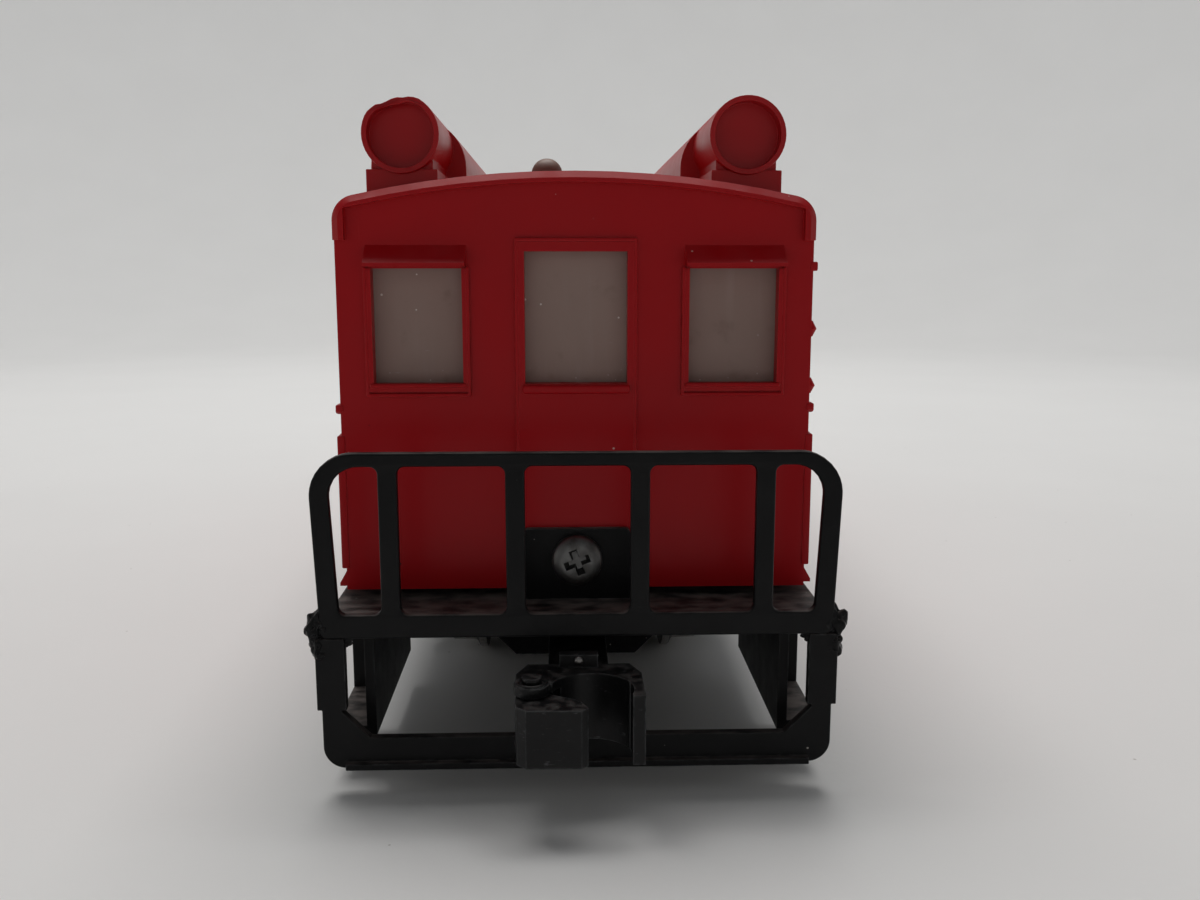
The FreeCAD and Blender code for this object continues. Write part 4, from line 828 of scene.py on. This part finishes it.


# ---------------------------------------------------------------------- red moulding
# The body is one thin moulding in glossy red plastic, with its window frames, visors, doors,
# sills and roof rim moulded on. It has small scratches, pale scuffs and dust on its ledges, and
# its rubbed edges are painted lighter, partly as wear and partly as a painted highlight.

def red_plastic(name, worn=0.9, fade=0.12, sheen=0.18):
    """Red plastic with fine scratches, dust where it can lie, and rubbed edges painted lighter,
    partly as wear and partly as a painted highlight.
    """
    red = Finish(name)
    colour = red.mix(red.grain(22.0, 3.0), (0.37, 0.0030, 0.0065), (0.44, 0.0042, 0.0085))
    # Lighter red along the rubbed edges: partly wear, partly a painted highlight.
    edge = red.rubbed(0.28) * red.rise(red.grain(1.7, 5.0), 0.28, 0.60)
    colour = red.mix(edge * worn * 0.5, colour, (0.62, 0.035, 0.035))
    scratch = red.rise(red.grain(0.6, 2.0, red.stretched((0.08, 0.08, 1.0))), 0.70, 0.78)
    across = red.rise(red.grain(0.6, 2.0, red.stretched((1.0, 1.0, 0.06))), 0.73, 0.80)
    patch = red.rise(red.grain(9.0, 3.0), 0.42, 0.66)
    colour = red.mix((scratch + across) * patch * 0.22, colour, (0.50, 0.03, 0.03))
    settled = red.upward() * red.rise(red.grain(2.6, 6.0), 0.30, 0.72)
    colour = red.mix(settled * fade, colour, (0.42, 0.065, 0.065))
    film = red.rise(red.grain(14.0, 5.0), 0.45, 0.85) * 0.12
    colour = red.mix(film, colour, (0.26, 0.020, 0.022))
    colour = red.mix(red.flecks(2.3, 0.10, 0.07) * 0.8, colour, (0.66, 0.50, 0.47))
    colour = red.mix(red.flecks(3.1, 0.08, 0.08), colour, (0.05, 0.004, 0.006))
    roughness = red.grain(2.2, 5.0) * 0.14 + 0.27 + settled * 0.25 + patch * scratch * 0.2
    relief = red.grain(5.5, 2.0) + red.grain(0.5, 3.0) * 0.22 - scratch * patch * 0.5
    return red.made(colour, roughness, relief, 0.03, **{"Specular IOR Level": sheen})


red = red_plastic("red_body_plastic")
half_wide = 28.4
half_long = 92.0
BELT_LOW, BELT_HIGH = 43.3, 44.1
RAIN_LOW, RAIN_HIGH = 64.5, 65.2
HINGE_LOW, HINGE_HIGH = 46.6, 53.5
mouldings = [eased("body_shell", 0.14)]
SIDE_WINDOWS = ((-80.0, 9.0), (-34.5, 15.0), (-11.5, 15.0), (11.5, 15.0), (34.5, 15.0),
                (80.0, 9.0))
DOORS = (-62.0, 62.0)
rivets = []
for side in (-1, 1):
    face = side * half_wide
    deep = sorted((face - side * 0.4, face + side * 0.75))
    proud = sorted((face - side * 0.4, face + side * 0.9))
    mouldings.append(block((deep[0], -half_long + 0.4, BELT_LOW), (deep[1], half_long - 0.4,
                                                                    BELT_HIGH), 0.3))
    for place, width in SIDE_WINDOWS + tuple((door, 14.0) for door in DOORS):
        strip = (place - width / 2 - 1.4, place + width / 2 + 1.4)
        mouldings.append(block((proud[0], strip[0], RAIN_LOW), (proud[1], strip[1], RAIN_HIGH),
                               0.25))
    for door in DOORS:
        hand = 1 if door * side < 0 else -1
        for height in (HINGE_LOW, HINGE_HIGH, 33.0):
            hinge_y = door + hand * 7.2
            mouldings.append(lathe([(0.0, height - 1.1), (0.5, height - 1.1), (0.62, height - 0.8),
                                    (0.62, height + 0.8), (0.5, height + 1.1),
                                    (0.0, height + 1.1)], "z",
                                   (face + side * 0.25, hinge_y, 0.0), 14))
        handle_y = door - hand * 4.9
        grip = sorted((face + side * 0.1, face + side * 0.9))
        mouldings.append(block((grip[0], handle_y - 0.35, 43.6), (grip[1], handle_y + 0.35, 44.8),
                               0.2))
        mouldings.append(block((grip[0], handle_y - 0.4, 42.0), (grip[1], handle_y + 0.4, 42.7),
                               0.25))
    for end in (-1, 1):
        reach = sorted((end * 90.2, end * 92.15))
        edge = sorted((side * 28.0, side * 28.95))
        mouldings.append(block((edge[0], reach[0], 24.2), (edge[1], reach[1], 40.7), 0.16))
        belt = sorted((side * 28.0, side * 29.0))
        mouldings.append(block((belt[0], reach[0], 43.6), (belt[1], reach[1], 44.5), 0.2))
        if side * end < 0:
            mouldings.append(block((edge[0], reach[0], 60.4), (edge[1], reach[1], 61.5), 0.2))
            for height in (HINGE_LOW, HINGE_HIGH):
                knuckle = [(0.0, height - 0.95), (0.25, height - 0.95), (0.75, height),
                           (0.25, height + 0.95), (0.0, height + 0.95)]
                mouldings.append(lathe(knuckle, "z", (side * 28.45, end * 91.2, 0.0), 14))
    for centre in (-46.0, 0.0, 46.0):
        slats = 7
        for slat in range(slats):
            height = 27.4 + slat * 1.75
            slope = block((-0.5, centre - 5.4, 0.0), (0.5, centre + 5.4, 1.15), 0.3)
            tilt = Matrix.Rotation(side * math.radians(-24.0), 4, "Y")
            for vertex in slope.verts:
                vertex.co = tilt @ vertex.co + Vector((face + side * 0.62, 0.0, height)) * MM
            mouldings.append(slope)
    for height in (25.4, 39.4):
        count = 60
        for step in range(count):
            along = -half_long + 3.0 + (2 * half_long - 6.0) * step / (count - 1)
            if all(abs(along - door) > 7.6 for door in DOORS):
                rivets.append(((face + side * 0.48, along, height), (float(side), 0.0, 0.0)))
    for along in (-71.5, -52.5, 71.5, 52.5):
        for height in (46.0, 60.0):
            rivets.append(((face + side * 0.02, along, height), (float(side), 0.0, 0.0)))
for facing in (-1, 1):
    face = facing * half_long
    for side in (-1, 1):
        bead = sorted((face - facing * 0.3, face + facing * 0.62))
        line = sorted((face - facing * 0.3, face + facing * 0.45))
        across = sorted((side * 13.1, side * 24.7))
        mouldings.append(block((across[0], bead[0], 46.55), (across[1], bead[1], 47.1), 0.24))
        wide = sorted((side * 12.6, side * 25.2))
        mouldings.append(block((wide[0], line[0], 45.45), (wide[1], line[1], 45.9), 0.2))
        for edge in (12.85, 24.95):
            upright = sorted((side * edge - 0.2, side * edge + 0.2))
            mouldings.append(block((upright[0], line[0], 45.5), (upright[1], line[1], 60.9), 0.18))
        ridge = sorted((side * 7.1 - 0.22, side * 7.1 + 0.22))
        mouldings.append(block((ridge[0], line[0], 30.0), (ridge[1], line[1], 64.2), 0.18))
    sill = sorted((face - facing * 0.3, face + facing * 1.0))
    mouldings.append(block((-6.5, sill[0], 45.8), (6.5, sill[1], 46.9), 0.35, 3))
    lintel = sorted((face - facing * 0.3, face + facing * 0.45))
    mouldings.append(block((-7.3, lintel[0], 63.8), (7.3, lintel[1], 64.3), 0.18))
    knob = [(0.0, 0.0), (0.55, 0.0), (0.55, 0.55), (0.85, 0.75), (0.9, 1.1), (0.6, 1.4),
            (0.0, 1.45)]
    if facing > 0:
        mouldings.append(lathe(knob, "y", (5.6, face, 43.0), 20))
add("body_moulding", joined(mouldings), "locomotive", red, ["body_shell"])
add("body_rivets", repeated("body_rivets", rivets, dome(0.8), 0.36, red), "locomotive", red)
GRAB_GAUGE, GRAB_SHIFT, GRAB_REACH, GRAB_LOW, GRAB_HIGH = 0.33, 9.2, 1.15, 46.0, 60.0
bars = []
for side in (-1, 1):
    out = side * (half_wide + GRAB_REACH)
    bend = side * (half_wide + 0.7)
    back = side * (half_wide - 0.3)
    upright = [(back, GRAB_LOW), (bend, GRAB_LOW), (out, GRAB_LOW + 0.1), (out, 47.2),
               (out, 53.0), (out, 58.8), (out, GRAB_HIGH - 0.1), (bend, GRAB_HIGH),
               (back, GRAB_HIGH)]
    for door in DOORS:
        for shift in (-GRAB_SHIFT, GRAB_SHIFT):
            bars.append(bent_wire([(x, door + shift, z) for x, z in upright], GRAB_GAUGE, 3,
                                  False))
add("grab_irons", joined(bars), "locomotive", stamped_steel)


# --------------------------------------------------------------------------- windows
# The glazing is thin celluloid sheet cut with scissors and glued behind the openings. It has
# gone grey and frosted, with long scratches, glue stains and crumbs along its lower edge.

def frosted(name):
    """Old celluloid: milky grey-brown, streaked, and satin."""
    sheet = Finish(name)
    cloud = sheet.grain(16.0, 5.0)
    colour = sheet.mix(cloud, (0.255, 0.172, 0.148), (0.385, 0.275, 0.24))
    streak = sheet.rise(sheet.grain(2.2, 3.0, sheet.stretched((1.0, 1.0, 0.12))), 0.5, 0.85)
    colour = sheet.mix(streak * 0.16, colour, (0.46, 0.38, 0.36))
    scrape = sheet.rise(sheet.grain(0.5, 2.0, sheet.stretched((0.10, 0.10, 0.7))), 0.72, 0.78)
    colour = sheet.mix(scrape * 0.6, colour, (0.52, 0.47, 0.45))
    stain = sheet.rise(sheet.grain(5.0, 5.0), 0.58, 0.75)
    colour = sheet.mix(stain * 0.45, colour, (0.14, 0.09, 0.07))
    colour = sheet.mix(sheet.flecks(1.9, 0.30, 0.09), colour, (0.72, 0.66, 0.62))
    foot = sheet.rise(sheet.axis("Z"), 49.5 * MM, 46.5 * MM)
    crumbs = foot * sheet.flecks(0.7, 0.45, 0.16)
    colour = sheet.mix(crumbs, colour, (0.60, 0.50, 0.46))
    roughness = sheet.grain(2.0, 4.0) * 0.2 + 0.38
    relief = sheet.grain(14.0, 1.0) * 2.0 + streak * 0.3
    return sheet.made(colour, roughness, relief, 0.05, **{"Specular IOR Level": 0.25})


def wavy_sheet(node, across, thick=0.5, cell=2.2):
    """A thin sheet in the place of a CAD sheet, gently buckled; across is 0 for X, 1 for Y."""
    low, high = (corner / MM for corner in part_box(node))
    flat = 1 - across
    middle = (low[flat] + high[flat]) / 2
    count = int((high[across] - low[across]) / cell)
    rows = int((high.z - low.z) / cell)
    shape = bmesh.new()
    skins = []
    for skin in (-1, 1):
        grid = []
        for column in range(count + 1):
            line = []
            for row in range(rows + 1):
                place = [0.0, 0.0, low.z + (high.z - low.z) * row / rows]
                place[across] = low[across] + (high[across] - low[across]) * column / count
                buckle = noise.noise(Vector((place[across] * 0.07, middle, place[2] * 0.09)))
                place[flat] = middle + skin * thick / 2 + buckle * 0.35
                line.append(shape.verts.new(Vector(place) * MM))
            grid.append(line)
        skins.append(grid)
        for column in range(count):
            for row in range(rows):
                shape.faces.new((grid[column][row], grid[column + 1][row],
                                 grid[column + 1][row + 1], grid[column][row + 1]))
    near, far = skins
    rim = [(0, row) for row in range(rows)] + [(column, rows) for column in range(count)]
    rim += [(count, row) for row in range(rows, 0, -1)]
    rim += [(column, 0) for column in range(count, 0, -1)]
    for (a, b), (c, e) in zip(rim, rim[1:] + rim[:1]):
        shape.faces.new((near[a][b], near[c][e], far[c][e], far[a][b]))
    bmesh.ops.recalc_face_normals(shape, faces=shape.faces)
    return shape


celluloid = frosted("frosted_celluloid")
for side, across in (("front", 0), ("rear", 0), ("right", 1), ("left", 1)):
    add(f"{side}_window_sheet", wavy_sheet(f"{side}_glazing", across), "locomotive",
        celluloid, [f"{side}_glazing"])


# --------------------------------------------------------------- roof tanks and stack
# Two moulded tanks lie along the roof on raised bases, each with a hollow round tube at both
# ends. The front left tube has lost a chip from its rim. The stack is a brown push-in plug.

tank_red = red_plastic("red_tank_plastic", worn=0.9, fade=0.4, sheen=0.3)
for side in ("right", "left"):
    shape = eased(f"roof_tank_{side}", 0.22)
    if side == "left":
        low, high = (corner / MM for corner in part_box("roof_tank_left"))
        chip = Vector(((low.x + high.x) / 2 - 1.15, low.y, 76.6 + 4.4)) * MM
        for vertex in shape.verts:
            reach = (vertex.co - chip).length / MM
            if reach < 3.4:
                bite = (1 - reach / 3.4) ** 0.8
                rough = noise.noise(vertex.co * 900.0) * 0.35
                vertex.co.y += (1.0 + rough) * bite * MM
                vertex.co.z -= (0.55 + rough) * bite * MM
    add(f"roof_tank_{side}_moulding", shape, "locomotive", tank_red,
        [f"roof_tank_{side}"])


def brown_plastic():
    """Dull brown plastic, chalky on top, with pale specks."""
    brown = Finish("brown_plastic")
    colour = brown.mix(brown.grain(2.0, 5.0), (0.12, 0.055, 0.038), (0.22, 0.105, 0.075))
    colour = brown.mix(brown.upward() * 0.5, colour, (0.34, 0.25, 0.20))
    colour = brown.mix(brown.flecks(0.9, 0.2, 0.12), colour, (0.42, 0.35, 0.30))
    return brown.made(colour, brown.grain(1.0, 4.0) * 0.2 + 0.42, brown.grain(0.6, 4.0), 0.04)


stack_low, stack_high = (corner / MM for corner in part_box("exhaust_stack"))
stack_middle = (stack_low + stack_high) / 2
stack_round = (stack_high.x - stack_low.x) / 2
top = stack_high.z
profile = [(0.0, stack_low.z + 0.2), (stack_round - 0.6, stack_low.z + 0.2),
           (stack_round - 0.4, 71.6), (stack_round + 0.35, 71.7), (stack_round + 0.45, 72.1),
           (stack_round + 0.35, 72.5), (stack_round, 72.7), (stack_round, top - 2.5)]
for step in range(1, 9):
    angle = math.radians(step * 11.25)
    profile.append((stack_round * math.cos(angle), top - 2.4 + 2.4 * math.sin(angle)))
profile[-1] = (0.0, top)
add("exhaust_dome", lathe(profile, "z", (stack_middle.x, stack_middle.y, 0.0), 40),
    "locomotive", brown_plastic(), ["exhaust_stack"])


# ----------------------------------------------------------- end railings and pilots
# Railings and pilots are stamped from thin plate with rounded corners, painted black with the
# deck, and glued on at the corners. Their edges are rubbed grey.

def rounded(points, radii, steps=7):
    """Corners of an outline, each turned into an arc of its radius."""
    made = []
    count = len(points)
    for place, radius in enumerate(radii):
        corner = Vector(points[place])
        back = (Vector(points[place - 1]) - corner).normalized()
        on = (Vector(points[(place + 1) % count]) - corner).normalized()
        if radius == 0.0:
            made.append(corner)
            continue
        half = back.angle(on) / 2
        start = corner + back * (radius / math.tan(half))
        end = corner + on * (radius / math.tan(half))
        centre = corner + (back + on).normalized() * (radius / math.sin(half))
        for step in range(steps + 1):
            between = start.lerp(end, step / steps) - centre
            made.append(centre + between.normalized() * radius)
    return made


def plate(outlines, low_y, high_y, soft):
    """A stamped plate across the model: an outline and its holes, with rounded edges."""
    line = bpy.data.curves.new("plate", "CURVE")
    line.dimensions = "2D"
    line.fill_mode = "BOTH"
    line.extrude = ((high_y - low_y) / 2 - soft) * MM
    line.bevel_depth = soft * MM
    line.bevel_resolution = 2
    line.offset = -soft * MM
    for outline in outlines:
        path = line.splines.new("POLY")
        path.points.add(len(outline) - 1)
        for point, place in zip(path.points, outline):
            point.co = (place.x * MM, place.y * MM, 0.0, 1.0)
        path.use_cyclic_u = True
    holder = bpy.data.objects.new("plate", line)
    shape = bmesh.new()
    shape.from_mesh(bpy.data.meshes.new_from_object(holder))
    bpy.data.objects.remove(holder)
    bmesh.ops.remove_doubles(shape, verts=shape.verts, dist=0.002 * MM)
    bmesh.ops.rotate(shape, verts=shape.verts, matrix=Matrix.Rotation(math.radians(90), 3, "X"))
    bmesh.ops.translate(shape, verts=shape.verts, vec=(0.0, (low_y + high_y) / 2 * MM, 0.0))
    bmesh.ops.recalc_face_normals(shape, faces=shape.faces)
    return shape


def opening(left, right, low, high, radii):
    """A hole of the railing, wound against the outline."""
    return rounded([(left, low), (left, high), (right, high), (right, low)], radii)


RAIL_BAR, RAIL_SOLE, RAIL_POST, RAIL_CORNER, RAIL_TAPER = 1.6, 2.8, 2.2, 5.0, 0.8
POST_PLACES = (7.1, 21.4)
HOLE = 0.9
rail_paint = black_paint("railing_paint", dust=0.5, wear=1.0, gloss=0.36)
for end in ("front", "rear"):
    low, high = (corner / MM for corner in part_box(f"{end}_railing"))
    wide, narrow = high.x, high.x - RAIL_TAPER
    outline = rounded([(-narrow, low.z), (narrow, low.z), (wide, high.z), (-wide, high.z)],
                      (0.9, 0.9, RAIL_CORNER, RAIL_CORNER), 10)
    sill, head = low.z + RAIL_SOLE, high.z - RAIL_BAR
    inner, outer = (place - RAIL_POST / 2 for place in POST_PLACES)
    holes = [opening(-inner, inner, sill, head, (HOLE,) * 4)]
    for side in (-1, 1):
        edges = sorted((side * (inner + RAIL_POST), side * outer))
        holes.append(opening(*edges, sill, head, (HOLE,) * 4))
        near = side * (outer + RAIL_POST)
        far_low, far_high = side * (narrow - RAIL_POST), side * (wide - RAIL_POST)
        corners = [(near, sill), (near, head), (far_high, head), (far_low, sill)]
        radii = [HOLE, HOLE, RAIL_CORNER - RAIL_BAR, HOLE]
        if side < 0:
            corners, radii = corners[::-1], radii[::-1]
        holes.append(rounded(corners, radii))
    add(f"{end}_railing_plate", plate([outline] + holes, low.y, high.y, 0.28), "locomotive",
        rail_paint, [f"{end}_railing"])
    add(f"{end}_pilot_plate", eased(f"{end}_pilot", 0.28), "locomotive", rail_paint,
        [f"{end}_pilot"])


# ---------------------------------------------------------------------------- screws
# One cross-head screw at each end holds the body to the deck. They are plated steel, dulled by
# handling, and the driver has chewed the arms of the cross.

SCREW_ROUND, SCREW_HEIGHT, CROSS_ARM, CROSS_WEB, CROSS_DEPTH = 3.1, 1.9, 2.0, 0.56, 1.3


def screw_head(facing, face_y, height):
    """A pan head with a tapered cross sunk in it, on the front or the rear tab."""
    pan = [(0.0, face_y - facing * 1.2)]
    steps = 7
    for step in range(steps + 1):
        angle = math.radians(90.0 * step / steps)
        pan.append((SCREW_ROUND - 1.5 + 1.5 * math.cos(angle) if step < steps else 0.9,
                    face_y + facing * (SCREW_HEIGHT - 1.15 + 1.15 * math.sin(angle))))
    pan.insert(1, (SCREW_ROUND, face_y - facing * 1.2))
    pan.append((0.0, face_y + facing * (SCREW_HEIGHT + 0.02)))
    body = lathe(pan, "y", (0.0, 0.0, height), 48)
    for turn in (21.0, 111.0):
        arm = bmesh.new()
        bmesh.ops.create_cube(arm, size=1.0)
        for vertex in arm.verts:
            top = vertex.co.z > 0
            reach = CROSS_ARM * 2 if top else CROSS_ARM * 1.1
            web = CROSS_WEB * 2.2 if top else CROSS_WEB * 1.2
            vertex.co = Vector((vertex.co.x * reach, vertex.co.y * web,
                                1.0 if top else -CROSS_DEPTH))
        bmesh.ops.rotate(arm, verts=arm.verts, matrix=Matrix.Rotation(math.radians(turn), 3, "Z"))
        bmesh.ops.rotate(arm, verts=arm.verts, matrix=Matrix.Rotation(
            math.radians(-90.0 * facing), 3, "X"))
        bmesh.ops.translate(arm, verts=arm.verts,
                            vec=(0.0, face_y + facing * SCREW_HEIGHT, height))
        bmesh.ops.scale(arm, verts=arm.verts, vec=(MM, MM, MM))
        holder = bpy.data.meshes.new("cross")
        arm.to_mesh(holder)
        arm.free()
        head = bpy.data.meshes.new("head")
        body.to_mesh(head)
        body.free()
        cutting = bpy.data.objects.new("cross", holder)
        piece = bpy.data.objects.new("head", head)
        bpy.context.scene.collection.objects.link(piece)
        bpy.context.scene.collection.objects.link(cutting)
        cut = piece.modifiers.new("cross", "BOOLEAN")
        cut.operation = "DIFFERENCE"
        cut.solver = "EXACT"
        cut.object = cutting
        settle(piece)
        body = bmesh.new()
        body.from_mesh(piece.data)
        bpy.data.objects.remove(piece)
        bpy.data.objects.remove(cutting)
    edges = [edge for edge in body.edges if edge.calc_face_angle(0.0) > math.radians(40.0)]
    bmesh.ops.bevel(body, geom=edges, offset=0.07 * MM, segments=2, profile=0.5,
                    affect="EDGES", clamp_overlap=True)
    return body


screw_steel = turned_metal("dull_screw_steel", (0.20, 0.20, 0.198), (0.06, 0.052, 0.045),
                           ring=0.3, gloss=0.42, oil=0.7)
tab_face = half_long + 1.2
add("body_screw_heads", joined([screw_head(-1, -tab_face, 25.5), screw_head(1, tab_face, 25.5)]),
    "locomotive", screw_steel, ["body_screws"])


# ------------------------------------------------------------- table, light and camera
# A seamless pale table curves up into a round wall. One large soft lamp hangs over the rear
# half of the model, so its front end stands in soft shade.

def pale_table():
    """Smooth off-white card with faint clouding, specks and fibres."""
    card = Finish("pale_table")
    colour = card.mix(card.grain(60.0, 4.0), (0.76, 0.755, 0.745), (0.80, 0.795, 0.785))
    colour = card.mix(card.flecks(5.0, 0.16, 0.05), colour, (0.52, 0.50, 0.48))
    return card.made(colour, card.grain(3.0, 3.0) * 0.1 + 0.62, card.grain(1.2, 4.0), 0.03)


TABLE_FLAT, TABLE_RADIUS, WALL_HEIGHT = 620.0, 1150.0, 620.0
bowl = [(0.0, 0.0), (200.0, 0.0), (TABLE_FLAT, 0.0)]
for step in range(1, 25):
    angle = math.radians(90.0 * step / 24)
    bowl.append((TABLE_FLAT + (TABLE_RADIUS - TABLE_FLAT) * math.sin(angle),
                 WALL_HEIGHT * (1 - math.cos(angle))))
shape = bmesh.new()
rings = []
for radius, height in bowl:
    corners = 1 if radius == 0.0 else 96
    rings.append([shape.verts.new((radius * math.cos(math.tau * step / 96) * MM,
                                   radius * math.sin(math.tau * step / 96) * MM, height * MM))
                  for step in range(corners)])
for near, far in zip(rings, rings[1:]):
    for step in range(96):
        after = (step + 1) % 96
        corners = [near[step % len(near)], far[step], far[after], near[after % len(near)]]
        shape.faces.new(list(dict.fromkeys(corners)))
for face in shape.faces:
    face.smooth = True
table_mesh = bpy.data.meshes.new("table")
shape.to_mesh(table_mesh)
shape.free()
table_mesh.materials.append(pale_table())
table = bpy.data.objects.new("table", table_mesh)
bpy.context.scene.collection.objects.link(table)


def lamp(name, place, aim, size, power, colour):
    """A soft rectangular lamp, in metres, turned to look at a point."""
    light = bpy.data.lights.new(name, "AREA")
    light.shape = "RECTANGLE"
    light.size, light.size_y = size
    light.energy = power
    light.color = colour
    holder = bpy.data.objects.new(name, light)
    holder.location = place
    holder.rotation_euler = (Vector(aim) - Vector(place)).to_track_quat("-Z", "Y").to_euler()
    bpy.context.scene.collection.objects.link(holder)


lamp("overhead_lamp", (-0.05, 0.27, 0.95), (0.0, 0.02, 0.0), (0.75, 0.45), 6.1,
     (1.0, 0.985, 0.965))
lamp("wall_lamp", (0.0, 0.10, 0.95), (0.0, 1.1, 0.30), (1.2, 0.4), 2.9, (0.95, 0.975, 1.0))
world = bpy.data.worlds.new("soft_room")
world.use_nodes = True
world.node_tree.nodes["Background"].inputs["Color"].default_value = (0.93, 0.96, 1.0, 1.0)
world.node_tree.nodes["Background"].inputs["Strength"].default_value = 0.12
bpy.context.scene.world = world
bpy.context.scene.view_settings.view_transform = "Standard"

eye = bpy.data.cameras.new("camera")
eye.sensor_width = 36.0
eye.lens = 33.0
eye.clip_start = 0.01
camera = bpy.data.objects.new("camera", eye)
camera.location = (-0.0016, -0.2244, 0.061)
camera.rotation_euler = (math.radians(80.5), 0.0, -math.radians(1.93))
bpy.context.scene.collection.objects.link(camera)
bpy.context.scene.camera = camera
